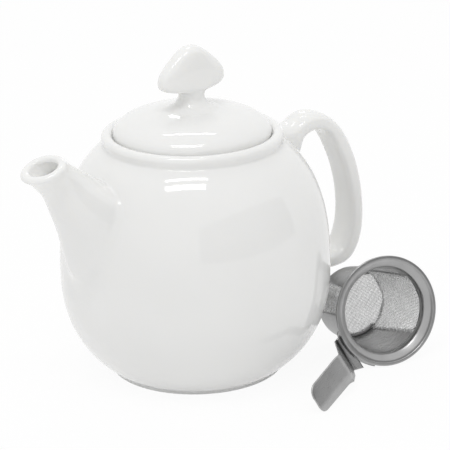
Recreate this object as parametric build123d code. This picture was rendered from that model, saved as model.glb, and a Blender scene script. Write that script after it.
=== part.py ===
"""Glazed teapot with its lid on, and its steel basket infuser lying beside it.

Millimetres. The origin is the centre of the pot's foot on the table, +Z up. The spout points along -X
and the pot's handle along +X.
"""

from build123d import *
import math
import os

# ---- Pot body: two quarter superellipses meet at the widest circle
belly_radius = 65.0
belly_height = 49.0
shoulder_power = 2.6
base_power = 2.25
body_wall = 4.5
floor_height = 5.5

# ---- Foot ring
foot_radius = 42.0
foot_height = 1.5
foot_ring_width = 5.0
foot_recess = 1.2

# ---- Gallery that carries the lid and the infuser's flange
ledge_height = 113.4
shelf_thickness = 4.5
lip_rise = 4.4
lip_width = 5.2
neck_drop = 1.4
neck_set_in = 0.7

# ---- Lid
lid_radius = 37.5
lid_edge_height = 3.4
lid_dome_rise = 12.2
lid_dome_power = 2.3
lid_wall = 3.6
lid_edge_wall = 5.0
lid_clearance = 0.4
lid_seat_gap = 0.2
skirt_clearance = 0.8
skirt_wall = 3.0
skirt_drop = 5.5

# ---- Knob: a flat spade, the hull of one upper and two lower circles, on a waisted stem
knob_height = 30.0
knob_length = 35.2
knob_thickness = 12.0
knob_top_round = 9.0
knob_side_round = 5.6
knob_side_drop = 15.2
knob_edge_round = 4.6
stem_waist_radius = 6.1
stem_waist_rise = 5.6
stem_foot_radius = 11.5
stem_flare = 1.5

# ---- Spout: round sections as (reach past the belly, height over the ledge, radius), and the angle
# above level that each one faces
spout_sections = [(-17.5, -56.4, 16.5), (-18.2, -43.7, 23.4), (-12.0, -33.0, 21.1),
                  (-2.4, -20.3, 15.6), (8.3, -7.8, 11.2), (17.9, 2.4, 10.2)]
spout_section_angles = [75.0, 66.0, 57.0, 53.0, 57.0, 71.0]
spout_wall = 2.9

# ---- Pot handle: edges of the loop as (reach past the neck, height over the ledge), from the top down;
# the loop is stretched so that it stands out past the belly by its reach
handle_reach = 35.2
handle_outer = [(4.5, -4.4), (12.8, -3.5), (21.3, 0.0), (30.4, -0.3), (40.4, -6.3), (49.4, -19.3),
                (55.5, -37.0), (57.8, -55.5), (55.6, -71.8), (48.8, -81.0), (37.6, -83.0)]
handle_inner = [(17.2, -19.9), (18.4, -12.7), (23.7, -9.0), (30.6, -9.5), (39.2, -19.8), (45.7, -36.3),
                (48.2, -53.3), (46.7, -65.5), (42.4, -72.8), (33.6, -75.0)]
handle_width = 16.0
handle_edge_round = 2.0
handle_root_sink = 4.0

# ---- Infuser flange and basket, in their own frame: mouth up, top of the flange at height 0
rim_radius = 26.8
rim_width = 4.5
hem_width = 1.6
hem_height = 1.3
hem_chamfer = 0.35
hem_step = 0.15
throat_depth = 2.4
basket_depth = 38.5
basket_taper = 4.3
sheet = 0.45
layer_gap = 0.05
collar_depth = 5.6
base_lip_width = 2.6
window_drop = 0.4
window_top_half_angle = 37.0
window_foot_half_angle = 54.0
strap_window_turn = 160.0
strap_window_top_half_angle = 18.0
strap_window_foot_half_angle = 26.0
window_foot_band = 2.4
window_corner = 3.0
mouth_clearance = 2.1

# ---- Infuser handle: centre line of the strap as (reach past the flange, height over it), from its root out
handle_turn = 207.0
strap_thickness = 0.9
strap_root = (-2.3, -2.65)
strap_path = [(2.8, -2.65), (12.1, 21.4), (37.9, 34.1)]
strap_bends = [2.5, 3.0]
strap_tip_round = 5.0
# Its two long edges as (reach past the flange, offset across); the root is wider on one side
strap_near_edge = [(-3.4, -5.0), (2.0, -3.6), (11.6, -6.6), (15.0, -7.3), (37.9, -7.5)]
strap_far_edge = [(-3.4, 17.0), (-0.8, 15.9), (2.6, 14.0), (8.0, 9.8), (13.0, 8.0), (37.9, 7.4)]
wing_width = 0.6
wing_sector = (-14.0, 45.0)
band_sector = (-39.0, 45.0)
band_height = 7.0
weld_radius = 1.3
weld_height = 0.25
weld_angles = [-26.0, 0.0, 26.0]

# ---- Where the infuser lies on the table: its flange's bearing from the pot's axis and its distance
infuser_bearing = -39.5
infuser_stand_off = 27.2
infuser_heading = 12.0

# ---- Points on each curved outline of the belly and the lid
outline_points = 17

# ---- Sizes that follow from the ones above
basket_radius = rim_radius - rim_width
basket_base_radius = basket_radius - basket_taper
seat_radius = lid_radius + lid_clearance
lip_radius = seat_radius + lip_width
lip_round = lip_width / 2
lip_top = ledge_height + lip_rise
neck_height = ledge_height - neck_drop
neck_radius = lip_radius - neck_set_in
mouth_radius = basket_radius + mouth_clearance
skirt_radius = mouth_radius - skirt_clearance
lid_underside = ledge_height + lid_seat_gap
lid_dome_base = lid_underside + lid_edge_height
lid_crown = lid_dome_base + lid_dome_rise


def quarter_reach(share, power):
    """How far along one axis of a unit superellipse a point lies whose other coordinate is share."""
    return (1 - share**power) ** (1 / power)


# The quarter superellipses pass through the neck and through the top of the foot ring.
shoulder_rise = (neck_height - belly_height) / quarter_reach(neck_radius / belly_radius, shoulder_power)
base_drop = (belly_height - foot_height) / quarter_reach(foot_radius / belly_radius, base_power)


def belly_radius_at(height, inset=0.0):
    """Radius of the belly at a height, for the outer skin or one inset from it."""
    upper = height >= belly_height
    semi_height = (shoulder_rise if upper else base_drop) - inset
    power = shoulder_power if upper else base_power
    share = min(1.0, abs(height - belly_height) / semi_height)
    return (belly_radius - inset) * quarter_reach(share, power)


def belly_line(low, high, inset=0.0):
    """Half outline of the belly between two heights."""
    heights = [low + (high - low) * i / (outline_points - 1) for i in range(outline_points)]
    return Spline([(belly_radius_at(h, inset), h) for h in heights])


def turned(edges):
    """Solid of revolution about +Z from a closed chain of (radius, height) edges."""
    return revolve(Plane.XZ * make_face(Curve() + edges), Axis.Z)


def ring(points):
    """Solid of revolution about +Z from a closed polygon of (radius, height) points."""
    return turned([Polyline(points, close=True)])


def pot_outer():
    """The pot's body as a filled solid, foot to lip."""
    lip_centre = lip_top - lip_round
    return turned([
        Line((0, 0), (foot_radius, 0)),
        Line((foot_radius, 0), (foot_radius, foot_height)),
        belly_line(foot_height, neck_height),
        Line((neck_radius, neck_height), (lip_radius, lip_centre)),
        ThreePointArc((lip_radius, lip_centre), (seat_radius + lip_round, lip_top), (seat_radius, lip_centre)),
        Line((seat_radius, lip_centre), (seat_radius, ledge_height)),
        Line((seat_radius, ledge_height), (0, ledge_height)),
        Line((0, ledge_height), (0, 0)),
    ])


def pot_cavity():
    """The room inside the pot, with the round mouth through the shelf."""
    roof = ledge_height - shelf_thickness
    room = turned([
        Line((0, floor_height), (belly_radius_at(floor_height, body_wall), floor_height)),
        belly_line(floor_height, roof, body_wall),
        Line((belly_radius_at(roof, body_wall), roof), (0, roof)),
        Line((0, roof), (0, floor_height)),
    ])
    low = roof - shelf_thickness
    mouth = ring([(0, low), (mouth_radius, low), (mouth_radius, lip_top), (0, lip_top)])
    return room + mouth


def spout_disc(number, inset, further=0.0):
    """Round face of one spout section, or one inset from it, moved further along its normal."""
    reach, rise, radius = spout_sections[number]
    turn = math.radians(spout_section_angles[number])
    plane = Plane(origin=(-belly_radius - reach, 0, ledge_height + rise), x_dir=(0, 1, 0),
                  z_dir=(-math.cos(turn), 0, math.sin(turn)))
    return plane * Pos(0, 0, further) * Circle(radius - inset)


def spout_tube(inset, overrun=0.0):
    """The spout's skin, or one inset from it, as a filled solid that may run on past its mouth."""
    discs = [spout_disc(number, inset) for number in range(len(spout_sections))]
    if overrun > 0:
        discs.append(spout_disc(-1, inset, overrun))
    return loft(discs)


def pot_body():
    foot_hollow = ring([(0, 0), (foot_radius - foot_ring_width, 0),
                        (foot_radius - foot_ring_width - foot_recess, foot_recess), (0, foot_recess)])
    return pot_outer() - foot_hollow - pot_cavity() - spout_tube(spout_wall)


def spout():
    return largest(spout_tube(0.0) - pot_outer() - spout_tube(spout_wall, spout_wall))


def largest(shape):
    """The largest solid of a cut, without crumbs."""
    return max(shape.solids(), key=lambda solid: solid.volume)


def root_point(height):
    """A point of the pot's section just under its skin, where an edge of the handle starts or ends."""
    return (belly_radius_at(height) - handle_root_sink, height)


def handle_edge(edge):
    """Points of one edge of the handle in the pot's section, stretched to the handle's reach."""
    stretch = (belly_radius + handle_reach - neck_radius) / max(reach for reach, rise in handle_outer)
    return [(neck_radius + reach * stretch, ledge_height + rise) for reach, rise in edge]


def pot_handle():
    outer_points = handle_edge(handle_outer)
    inner_points = handle_edge(handle_inner)
    top = root_point(outer_points[0][1] - handle_root_sink)
    under_top = root_point(inner_points[0][1] - handle_root_sink)
    outer = Spline([top] + outer_points + [root_point(outer_points[-1][1])])
    inner = Spline([under_top] + inner_points + [root_point(inner_points[-1][1])])
    face = make_face(Curve() + [outer, inner, Line(outer @ 0, inner @ 0), Line(outer @ 1, inner @ 1)])
    strap = extrude(Plane.XZ * face, handle_width / 2, both=True)
    long_edges = [edge for edge in strap.edges() if edge.length > handle_width * 4]
    strap = fillet(long_edges, handle_edge_round)
    return largest(strap - pot_outer())


def dome_line(radius, base, rise):
    """Half outline of the lid's dome from its edge to its crown: a quarter superellipse."""
    points = []
    for i in range(outline_points):
        turn = math.pi / 2 * i / (outline_points - 1)
        across = math.cos(turn) ** (2 / lid_dome_power)
        up = math.sin(turn) ** (2 / lid_dome_power)
        points.append((radius * across, base + rise * up))
    points[-1] = (0.0, base + rise)
    return Spline(points)


def lid_filled():
    """The lid's outer shape down to its underside, without hollow or skirt."""
    return turned([
        Line((0, lid_underside), (lid_radius, lid_underside)),
        Line((lid_radius, lid_underside), (lid_radius, lid_dome_base)),
        dome_line(lid_radius, lid_dome_base, lid_dome_rise),
        Line((0, lid_crown), (0, lid_underside)),
    ])


def lid():
    hollow_radius = lid_radius - lid_edge_wall
    hollow = turned([
        Line((0, lid_underside), (hollow_radius, lid_underside)),
        Line((hollow_radius, lid_underside), (hollow_radius, lid_dome_base)),
        dome_line(hollow_radius, lid_dome_base, lid_dome_rise - lid_wall),
        Line((0, lid_crown - lid_wall), (0, lid_underside)),
    ])
    skirt_low = lid_underside - skirt_drop
    skirt = ring([(skirt_radius - skirt_wall, skirt_low), (skirt_radius, skirt_low),
                  (skirt_radius, lid_crown), (skirt_radius - skirt_wall, lid_crown)])
    under_dome = ring([(0, skirt_low), (lid_radius, skirt_low), (lid_radius, lid_underside), (0, lid_underside)])
    return lid_filled() - hollow + (skirt & (lid_filled() + under_dome))


def lid_knob():
    top = lid_crown + knob_height
    side_height = top - knob_side_drop
    side_reach = knob_length / 2 - knob_side_round
    rounds = [Pos(0, top - knob_top_round) * CenterArc((0, 0), knob_top_round, 0, 360)]
    for side in (-1, 1):
        rounds.append(Pos(side * side_reach, side_height) * CenterArc((0, 0), knob_side_round, 0, 360))
    spade = make_hull(rounds)
    head = extrude(Plane.XZ * spade, knob_thickness / 2, both=True)
    head = fillet(head.faces().filter_by(Axis.Y).edges(), knob_edge_round)
    head_base = side_height - knob_side_round
    waist = (stem_waist_radius, lid_crown + stem_waist_rise)
    stem_foot = (stem_foot_radius, lid_crown - lid_wall / 2)
    stem_top = (stem_waist_radius + stem_flare, head_base + stem_flare)
    stem = turned([
        Line((0, stem_foot[1]), stem_foot),
        Spline([stem_foot, waist, stem_top], tangents=[(-1, 0.6), (0.6, 1)]),
        Line(stem_top, (0, stem_top[1])),
        Line((0, stem_top[1]), (0, stem_foot[1])),
    ])
    return largest(stem + head - lid_filled())


def basket_wall_at(height, inset=0.0):
    """Radius of the basket's cone at a height below its flange."""
    return basket_radius + (basket_radius - basket_base_radius) * height / basket_depth - inset


def cone_sheet(top, bottom, outer_inset, thickness):
    """A conical sheet that follows the basket's wall between two heights."""
    inner = outer_inset + thickness
    return ring([(basket_wall_at(bottom, inner), bottom), (basket_wall_at(bottom, outer_inset), bottom),
                 (basket_wall_at(top, outer_inset), top), (basket_wall_at(top, inner), top)])


def infuser_rim():
    """Rolled flange: a hemmed outer band, a slope into the throat and a skirt inside the basket's wall."""
    outer = sheet + layer_gap
    inner = outer + sheet
    hem = rim_radius - hem_width
    slope_top = rim_radius - rim_width / 2
    return ring([
        (basket_wall_at(-collar_depth, inner), -collar_depth),
        (basket_wall_at(-collar_depth, outer), -collar_depth),
        (basket_wall_at(-throat_depth, outer), -throat_depth),
        (slope_top, -hem_step - 2 * sheet),
        (hem, -hem_step - 2 * sheet),
        (hem, -hem_height),
        (rim_radius - hem_chamfer, -hem_height),
        (rim_radius, -hem_height + hem_chamfer),
        (rim_radius, -hem_chamfer),
        (rim_radius - hem_chamfer, 0),
        (hem + hem_step, 0),
        (hem, -hem_step),
        (slope_top, -hem_step),
        (basket_wall_at(-throat_depth, inner), -throat_depth),
    ])


def window_slot(turn, top_half_angle, foot_half_angle):
    """Cutter for one window at a turn about the axis: its sides lean apart downwards and its corners are round."""
    top = -collar_depth - window_drop
    foot = window_foot_band - basket_depth
    half_top = basket_wall_at(top) * math.sin(math.radians(top_half_angle))
    half_foot = basket_wall_at(foot) * math.sin(math.radians(foot_half_angle))
    window = make_face(Polyline([(-half_top, top), (half_top, top), (half_foot, foot), (-half_foot, foot)],
                                close=True))
    window = fillet(window.vertices(), window_corner)
    return Rot(0, 0, turn) * extrude(Plane.YZ * window, rim_radius)


def infuser_shell():
    """Conical steel wall with a wide window, a narrow one beside the strap, and a lip that holds the base mesh."""
    top = -throat_depth - 2 * layer_gap
    cup = ring([
        (basket_base_radius - base_lip_width, -basket_depth),
        (basket_base_radius, -basket_depth),
        (basket_wall_at(top), top),
        (basket_wall_at(top, sheet), top),
        (basket_wall_at(sheet - basket_depth, sheet), sheet - basket_depth),
        (basket_base_radius - base_lip_width, sheet - basket_depth),
    ])
    wide = window_slot(0, window_top_half_angle, window_foot_half_angle)
    narrow = window_slot(strap_window_turn, strap_window_top_half_angle, strap_window_foot_half_angle)
    return cup - wide - narrow


def infuser_mesh_wall():
    """Woven mesh inside the wall, from the rim's skirt down to the base mesh."""
    return cone_sheet(-collar_depth - layer_gap, base_mesh_top() + layer_gap, sheet + layer_gap, sheet)


def base_mesh_top():
    """Height of the base mesh's upper side."""
    return 2 * sheet + layer_gap - basket_depth


def infuser_mesh_base():
    """Round woven mesh on the shell's lip."""
    low = sheet + layer_gap - basket_depth
    radius = basket_wall_at(low, sheet + layer_gap)
    return ring([(0, low), (radius, low), (radius, base_mesh_top()), (0, base_mesh_top())])


def sector(low, high):
    """A tall sector between two angles from +X, reaching past the flange."""
    reach = rim_radius * 2
    corners = [(0, 0)]
    for angle in (low, (low + high) / 2, high):
        turn = math.radians(angle)
        corners.append((reach * math.cos(turn), reach * math.sin(turn)))
    return Pos(0, 0, -basket_depth) * extrude(make_face(Polyline(corners, close=True)), basket_depth * 2)


def strap_band():
    """The strap's foot: a band round part of the basket's collar with a flat wing under the flange."""
    top = strap_root[1] + strap_thickness / 2
    low = top - band_height
    near = -layer_gap
    far = near - strap_thickness
    wing_reach = rim_radius + wing_width
    band = ring([(basket_wall_at(low, near), low), (basket_wall_at(low, far), low),
                 (basket_wall_at(top, far), top), (basket_wall_at(top, near), top)])
    wing = ring([(basket_wall_at(top, near), top - strap_thickness), (wing_reach, top - strap_thickness),
                 (wing_reach, top), (basket_wall_at(top, near), top)])
    return (band & sector(*band_sector)) + (wing & sector(*wing_sector))


def infuser_handle():
    """Bent sheet strap: a wide root under the flange, a raised crease and a round-cornered grip."""
    points = [(rim_radius + reach, rise) for reach, rise in [strap_root] + strap_path]
    path = Plane.XZ * FilletPolyline(*points, radius=strap_bends)
    start = Plane(origin=path @ 0, x_dir=(0, 1, 0), z_dir=path % 0)
    strap = sweep(start * Rectangle(rim_radius * 2, strap_thickness), path)
    edge = strap_near_edge + strap_far_edge[::-1]
    plan = make_face(Polyline([(rim_radius + reach, offset) for reach, offset in edge], close=True))
    plan = fillet(plan.vertices().group_by(Axis.X)[-1], strap_tip_round)
    strap = strap & (Pos(0, 0, -basket_depth) * extrude(plan, basket_depth * 3))
    return largest(strap + strap_band())


def handle_welds():
    """Spot welds that hold the strap's band to the collar."""
    height = strap_root[1] - band_height / 2
    skin = layer_gap + strap_thickness
    low = height - band_height
    high = height + band_height
    core = ring([(0, low), (basket_wall_at(low, -skin), low), (basket_wall_at(high, -skin), high), (0, high)])
    reach = basket_wall_at(height, -skin) + weld_height
    spot = Pos(reach, 0, height) * Rot(0, -90, 0) * Pos(0, 0, weld_radius) * Cylinder(weld_radius, 2 * weld_radius)
    spot = spot - core
    return Compound(children=[largest(Rot(0, 0, angle) * spot) for angle in weld_angles])


def lying_infuser(pieces):
    """Lays the infuser on its flange and base edge, mouth towards -Y, turned by its heading."""
    edge = hem_height - hem_chamfer
    tilt = math.atan2(rim_radius - basket_base_radius, basket_depth - edge)
    turn = math.radians(infuser_heading)
    centre_height = rim_radius * math.cos(tilt) + edge * math.sin(tilt)
    mouth = (-math.sin(turn) * math.cos(tilt), -math.cos(turn) * math.cos(tilt), math.sin(tilt))
    bearing = math.radians(infuser_bearing)
    distance = belly_radius + infuser_stand_off
    centre = (distance * math.cos(bearing), distance * math.sin(bearing), centre_height)
    bench = Plane(origin=centre, x_dir=(math.cos(turn), -math.sin(turn), 0), z_dir=mouth)
    return {name: bench * piece for name, piece in pieces.items()}


def all_parts():
    parts = {
        "pot_body": pot_body(),
        "spout": spout(),
        "pot_handle": pot_handle(),
        "lid": lid(),
        "lid_knob": lid_knob(),
    }
    parts.update(lying_infuser({
        "infuser_rim": infuser_rim(),
        "infuser_shell": infuser_shell(),
        "infuser_mesh_wall": infuser_mesh_wall(),
        "infuser_mesh_base": infuser_mesh_base(),
        "infuser_handle": Rot(0, 0, handle_turn) * infuser_handle(),
        "handle_welds": Rot(0, 0, handle_turn) * handle_welds(),
    }))
    return parts


os.makedirs("parts", exist_ok=True)
for name, shape in all_parts().items():
    export_step(shape, f"parts/{name}.step")
    size = shape.bounding_box()
    print(name, round(shape.volume), [round(v, 1) for v in (*size.min, *size.max)])
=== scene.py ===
"""Glazed teapot with its lid on, and its steel basket infuser beside it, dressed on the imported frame."""

import math

import bmesh
import bpy
import numpy as np
from mathutils import Matrix, Vector


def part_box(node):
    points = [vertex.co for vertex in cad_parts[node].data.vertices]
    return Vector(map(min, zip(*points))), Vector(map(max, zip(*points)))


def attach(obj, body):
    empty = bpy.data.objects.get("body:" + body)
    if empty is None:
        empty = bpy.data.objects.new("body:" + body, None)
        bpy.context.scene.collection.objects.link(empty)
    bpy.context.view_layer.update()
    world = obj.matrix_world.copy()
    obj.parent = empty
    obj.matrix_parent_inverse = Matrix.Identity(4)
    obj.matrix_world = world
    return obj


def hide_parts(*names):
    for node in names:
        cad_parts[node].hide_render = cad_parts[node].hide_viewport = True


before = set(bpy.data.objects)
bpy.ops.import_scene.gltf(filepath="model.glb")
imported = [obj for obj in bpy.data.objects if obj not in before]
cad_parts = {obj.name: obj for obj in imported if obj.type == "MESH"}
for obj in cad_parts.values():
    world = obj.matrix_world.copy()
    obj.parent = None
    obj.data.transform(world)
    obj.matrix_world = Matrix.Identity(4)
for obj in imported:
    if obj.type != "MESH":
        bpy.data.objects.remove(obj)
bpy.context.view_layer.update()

bl_info = {
    "name": "Teapot and Infuser",
    "version": (1, 0, 0),
    "blender": (4, 5, 0),
    "location": "3D View > Sidebar > Teapot",
    "description": "Builds a glazed teapot, its lid and a woven steel infuser around their frame",
    "category": "Object",
}

MM = 0.001
POT_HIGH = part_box("pot_body")[1]
LID_LOW, LID_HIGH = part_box("lid")
MERGE_DISTANCE = 2e-6

# Round sections of the spout: (reach past the belly, height over the ledge, radius) in millimetres, the
# angle above level that each one faces in degrees, and how much wider than high it is.
SPOUT_SECTIONS = [(-17.5, -56.4, 16.5), (-18.2, -43.7, 23.4), (-12.0, -33.0, 21.1),
                  (-2.4, -20.3, 15.6), (8.3, -7.8, 11.2), (17.9, 2.4, 10.2)]
SPOUT_ANGLES = [75.0, 66.0, 57.0, 53.0, 57.0, 71.0]
SPOUT_WIDTHS = [0.98, 0.99, 1.0, 1.03, 1.06, 1.08]

# Edges of the pot's handle: (reach past the neck, height over the ledge) in millimetres, from the top down.
HANDLE_OUTER = [(4.5, -4.4), (12.8, -3.5), (21.3, 0.0), (30.4, -0.3), (40.4, -6.3), (49.4, -19.3),
                (55.5, -37.0), (57.8, -55.5), (55.6, -71.8), (48.8, -81.0), (37.6, -83.0)]
HANDLE_INNER = [(17.2, -19.9), (18.4, -12.7), (23.7, -9.0), (30.6, -9.5), (39.2, -19.8), (45.7, -36.3),
                (48.2, -53.3), (46.7, -65.5), (42.4, -72.8), (33.6, -75.0)]

# The knob's outline above the lid's crown: (height, half length, half thickness) in millimetres.
KNOB_STATIONS = [(0.2, 11.2, 11.2), (1.5, 8.7, 8.7), (3.4, 6.9, 6.9), (5.6, 6.2, 6.1), (7.7, 6.9, 6.1),
                 (8.8, 9.6, 6.3), (9.5, 13.6, 6.5), (11.3, 17.3, 6.6), (14.0, 18.0, 6.4), (17.2, 17.1, 6.2),
                 (20.6, 14.4, 5.8), (24.4, 10.3, 5.2), (27.6, 6.2, 4.3), (29.3, 3.1, 2.5), (30.0, 0.0, 0.0)]

# The radii in millimetres at which the lid's dome passes into the knob's outline.
KNOB_JOIN = [14.5, 13.4]

# The infuser's strap handle: its centre line as (reach past the flange, height over it) from its root out
# and the radii of its bends; its two long edges as (reach past the flange, offset across) and how far each
# of their corners is cut, all in millimetres.
STRAP_LEVEL = -2.65
STRAP_PATH = [(-2.3, STRAP_LEVEL), (2.8, STRAP_LEVEL), (12.1, 21.4), (37.9, 34.1)]
STRAP_BENDS = [3.0, 6.0]
STRAP_NEAR = [(-3.4, -5.0), (2.0, -3.6), (11.6, -6.6), (15.0, -7.3), (37.9, -7.5)]
STRAP_NEAR_CUTS = [1.5, 3.5, 1.6]
STRAP_FAR = [(-3.4, 17.0), (-0.8, 15.9), (2.6, 14.4), (8.0, 12.0), (14.0, 8.2), (37.9, 7.4)]
STRAP_FAR_CUTS = [1.0, 1.6, 2.4, 2.4]

# The strap's foot: where its band starts and ends and where its wing starts to grow, as turns from the
# strap in degrees, and the turns of its spot welds.
BAND_SECTOR = (-39.0, 45.0)
WING_START, WING_GROWTH = -20.0, 9.0
WELD_ANGLES = [-26.0, 0.0, 26.0]

# Strip lights: (azimuth, elevation, length, width) as angles in degrees seen from the lid.
STRIPS = [(-49.0, 63.6, 31.0, 6.5), (-52.0, 73.4, 31.0, 3.2), (148.0, 62.0, 26.0, 3.0),
          (146.0, 29.0, 8.0, 3.4)]


def length(name, description, default):
    """A length property in metres."""
    return bpy.props.FloatProperty(name=name, description=description, default=default, min=0.0,
                                   precision=5, unit="LENGTH", subtype="DISTANCE")


def angle(name, description, degrees):
    """An angle property, given in degrees."""
    return bpy.props.FloatProperty(name=name, description=description, default=math.radians(degrees),
                                   unit="ROTATION", subtype="ANGLE")


def colour(name, description, default):
    """A colour property in linear values."""
    return bpy.props.FloatVectorProperty(name=name, description=description, default=default, size=3,
                                         min=0.0, max=1.0, subtype="COLOR")


def number(name, description, default):
    """A plain number property."""
    return bpy.props.FloatProperty(name=name, description=description, default=default, min=0.0)


class PotSizes(bpy.types.PropertyGroup):
    """Sizes of the pot's body, spout and handle."""
    belly_radius: length("Belly radius", "Radius of the widest circle", POT_HIGH.x)
    belly_height: length("Belly height", "Height of the widest circle", 49.0 * MM)
    shoulder_power: number("Shoulder fullness", "Power of the superellipse above the widest circle", 2.6)
    base_power: number("Base fullness", "Power of the superellipse below the widest circle", 2.25)
    foot_radius: length("Foot radius", "Outer radius of the foot ring", 42.0 * MM)
    foot_height: length("Foot height", "Height of the foot ring", 1.5 * MM)
    foot_width: length("Foot width", "Width of the foot ring", 5.0 * MM)
    foot_recess: length("Foot recess", "Depth of the hollow inside the foot ring", 1.2 * MM)
    wall: length("Wall", "Thickness of the belly's wall", 4.5 * MM)
    floor: length("Floor", "Height of the floor inside", 5.5 * MM)
    neck_drop: length("Neck drop", "Depth of the neck below the ledge", 1.4 * MM)
    neck_set_in: length("Neck set-in", "How far the neck stands back from the lip", 0.7 * MM)
    ledge_height: length("Ledge height", "Height of the ledge under the lid", 113.4 * MM)
    shelf: length("Shelf thickness", "Thickness of the ledge", 4.5 * MM)
    lip_width: length("Lip width", "Width of the half round lip", 5.4 * MM)
    seat_radius: length("Seat radius", "Inner radius of the lip", LID_HIGH.x + 0.2 * MM)
    mouth_radius: length("Mouth radius", "Radius of the hole for the infuser", 24.4 * MM)
    cove: length("Neck softness", "Softness of the corner between belly and collar", 0.5 * MM)
    spout_wall: length("Spout wall", "Thickness of the spout's wall", 3.7 * MM)
    spout_shoulder: number("Spout shoulder",
                           "Share of its radius by which the root's upper corners stand out", 0.22)
    spout_neck: length("Spout neck", "How far the underside draws in behind the lip", 1.3 * MM)
    spout_throat: length("Spout throat", "How much the spout's passage narrows behind its lip", 2.4 * MM)
    spout_root: length("Spout root", "Reach of the soft corner beside the spout", 8.0 * MM)
    spout_crease: length("Spout crease", "Reach of the soft corner on top of the spout", 1.5 * MM)
    spout_flare: length("Spout flare", "How far the spout's lip swells out below", 1.5 * MM)
    handle_reach: length("Handle reach", "How far the handle stands out past the belly", 35.2 * MM)
    handle_width: length("Handle width", "Width of the handle", 16.0 * MM)
    handle_outer_power: number("Handle back squareness", "Power of the section's outer half", 2.3)
    handle_inner_power: number("Handle inner squareness", "Power of the section's inner half", 3.3)
    handle_root: length("Handle root", "Reach of the soft corner at the handle's ends", 2.6 * MM)
    handle_sink: length("Handle sink", "Depth of the handle's ends under the skin", 4.0 * MM)


class LidSizes(bpy.types.PropertyGroup):
    """Sizes of the lid and its knob."""
    skirt_drop: length("Skirt drop", "Depth of the skirt below the lid's edge", 5.5 * MM)
    edge_height: length("Edge height", "Height of the lid's upright edge", 3.4 * MM)
    dome_power: number("Dome fullness", "Power of the dome's superellipse", 2.12)
    wall: length("Wall", "Thickness of the dome", 3.6 * MM)
    edge_wall: length("Edge wall", "Thickness of the lid's edge", 5.0 * MM)
    skirt_radius: length("Skirt radius", "Outer radius of the skirt that reaches into the mouth", 23.6 * MM)
    skirt_wall: length("Skirt wall", "Thickness of the skirt", 3.0 * MM)
    knob_power: number("Knob squareness", "Power of the knob's level sections", 2.45)


class InfuserSizes(bpy.types.PropertyGroup):
    """Sizes of the infuser and the place where it lies."""
    rim_radius: length("Flange radius", "Outer radius of the flange", 26.8 * MM)
    rim_width: length("Flange width", "Width of the flange", 4.5 * MM)
    hem_width: length("Hem width", "Width of the folded outer band", 1.6 * MM)
    hem_height: length("Hem height", "Height of the folded outer band", 1.3 * MM)
    hem_chamfer: length("Hem chamfer", "Bevel on the hem's outer corners", 0.35 * MM)
    hem_step: length("Hem step", "Height of the hem over the flange's slope", 0.18 * MM)
    throat_depth: length("Throat depth", "Depth at which the flange turns into the wall", 2.4 * MM)
    basket_depth: length("Basket depth", "Depth of the basket below the flange", 38.5 * MM)
    taper: length("Taper", "How much smaller the basket's radius is at its base", 4.3 * MM)
    sheet: length("Sheet", "Thickness of the sheet steel", 0.45 * MM)
    layer_gap: length("Layer gap", "Gap between layers of sheet", 0.05 * MM)
    collar_depth: length("Collar depth", "Depth of the flange's skirt inside the wall", 5.6 * MM)
    base_lip: length("Base lip", "Width of the lip under the base mesh", 2.6 * MM)
    window_drop: length("Window drop", "Gap between the collar and a window", 0.4 * MM)
    window_band: length("Window foot", "Height of the band under a window", 0.4 * MM)
    window_corner: length("Window corner", "Radius of a window's corners", 3.0 * MM)
    window_top: angle("Window top angle", "Half angle of the wide window at its top", 37.0)
    window_foot: angle("Window foot angle", "Half angle of the wide window at its foot", 54.0)
    strap_window_turn: angle("Narrow window turn", "Turn of the narrow window beside the strap", 160.0)
    strap_window_top: angle("Narrow window top angle", "Half angle of the narrow window at its top", 18.0)
    strap_window_foot: angle("Narrow window foot angle", "Half angle of the narrow window at its foot", 26.0)
    mesh_pitch: length("Mesh pitch", "Distance between neighbouring wires", 0.7 * MM)
    wire: length("Wire", "Diameter of a wire", 0.3 * MM)
    mesh_margin: length("Mesh margin", "How far the mesh laps over a window's edge", 1.6 * MM)
    strap_thickness: length("Strap thickness", "Thickness of the strap handle", 0.9 * MM)
    strap_turn: angle("Strap turn", "Turn of the strap about the basket's axis", 207.0)
    strap_tip: length("Strap tip", "Radius of the strap's outer corners", 5.0 * MM)
    strap_crown: length("Strap crown", "Height of the grip's middle over its edges", 0.2 * MM)
    strap_curl: length("Strap curl", "How far the grip's far edge bends down", 1.2 * MM)
    band_height: length("Band height", "Height of the strap's band round the collar", 7.0 * MM)
    wing_width: length("Wing width", "How far the strap's wing stands out past the flange", 0.6 * MM)
    weld_radius: length("Weld radius", "Radius of a spot weld", 1.3 * MM)
    weld_height: length("Weld height", "Height of a spot weld", 0.25 * MM)
    bearing: angle("Bearing", "Bearing of the flange from the pot's axis", -39.5)
    stand_off: length("Stand-off", "Distance of the flange's centre past the belly", 27.2 * MM)
    heading: angle("Heading", "Turn of the mouth from the -Y direction", 12.0)


class Finishes(bpy.types.PropertyGroup):
    """Colours and surface qualities."""
    glaze: colour("Glaze", "Colour of the white glaze", (0.865, 0.865, 0.853))
    glaze_roughness: number("Glaze roughness", "Roughness of the glaze", 0.045)
    glaze_depth: number("Glaze depth", "Share of the light that wanders inside the porcelain", 0.25)
    steel: colour("Steel", "Colour of the sheet steel", (0.405, 0.405, 0.405))
    steel_roughness: number("Steel roughness", "Roughness of the sheet steel", 0.3)
    # Painted shade and light on the basket's wall: its outside is coloured darker than the same steel
    # elsewhere as painted shade, and its inside lighter as painted light against the shade in its hollow.
    outer_painted_shade: number("Wall shade", "Darkness of the basket's outside, as a share of the steel", 0.62)
    inner_painted_light: number("Inner shade", "Lightness of the basket's inside, as a share of the steel", 1.35)
    wire: colour("Wire", "Colour of the mesh wires", (0.81, 0.81, 0.81))
    wire_roughness: number("Wire roughness", "Roughness of the mesh wires", 0.28)


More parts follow.
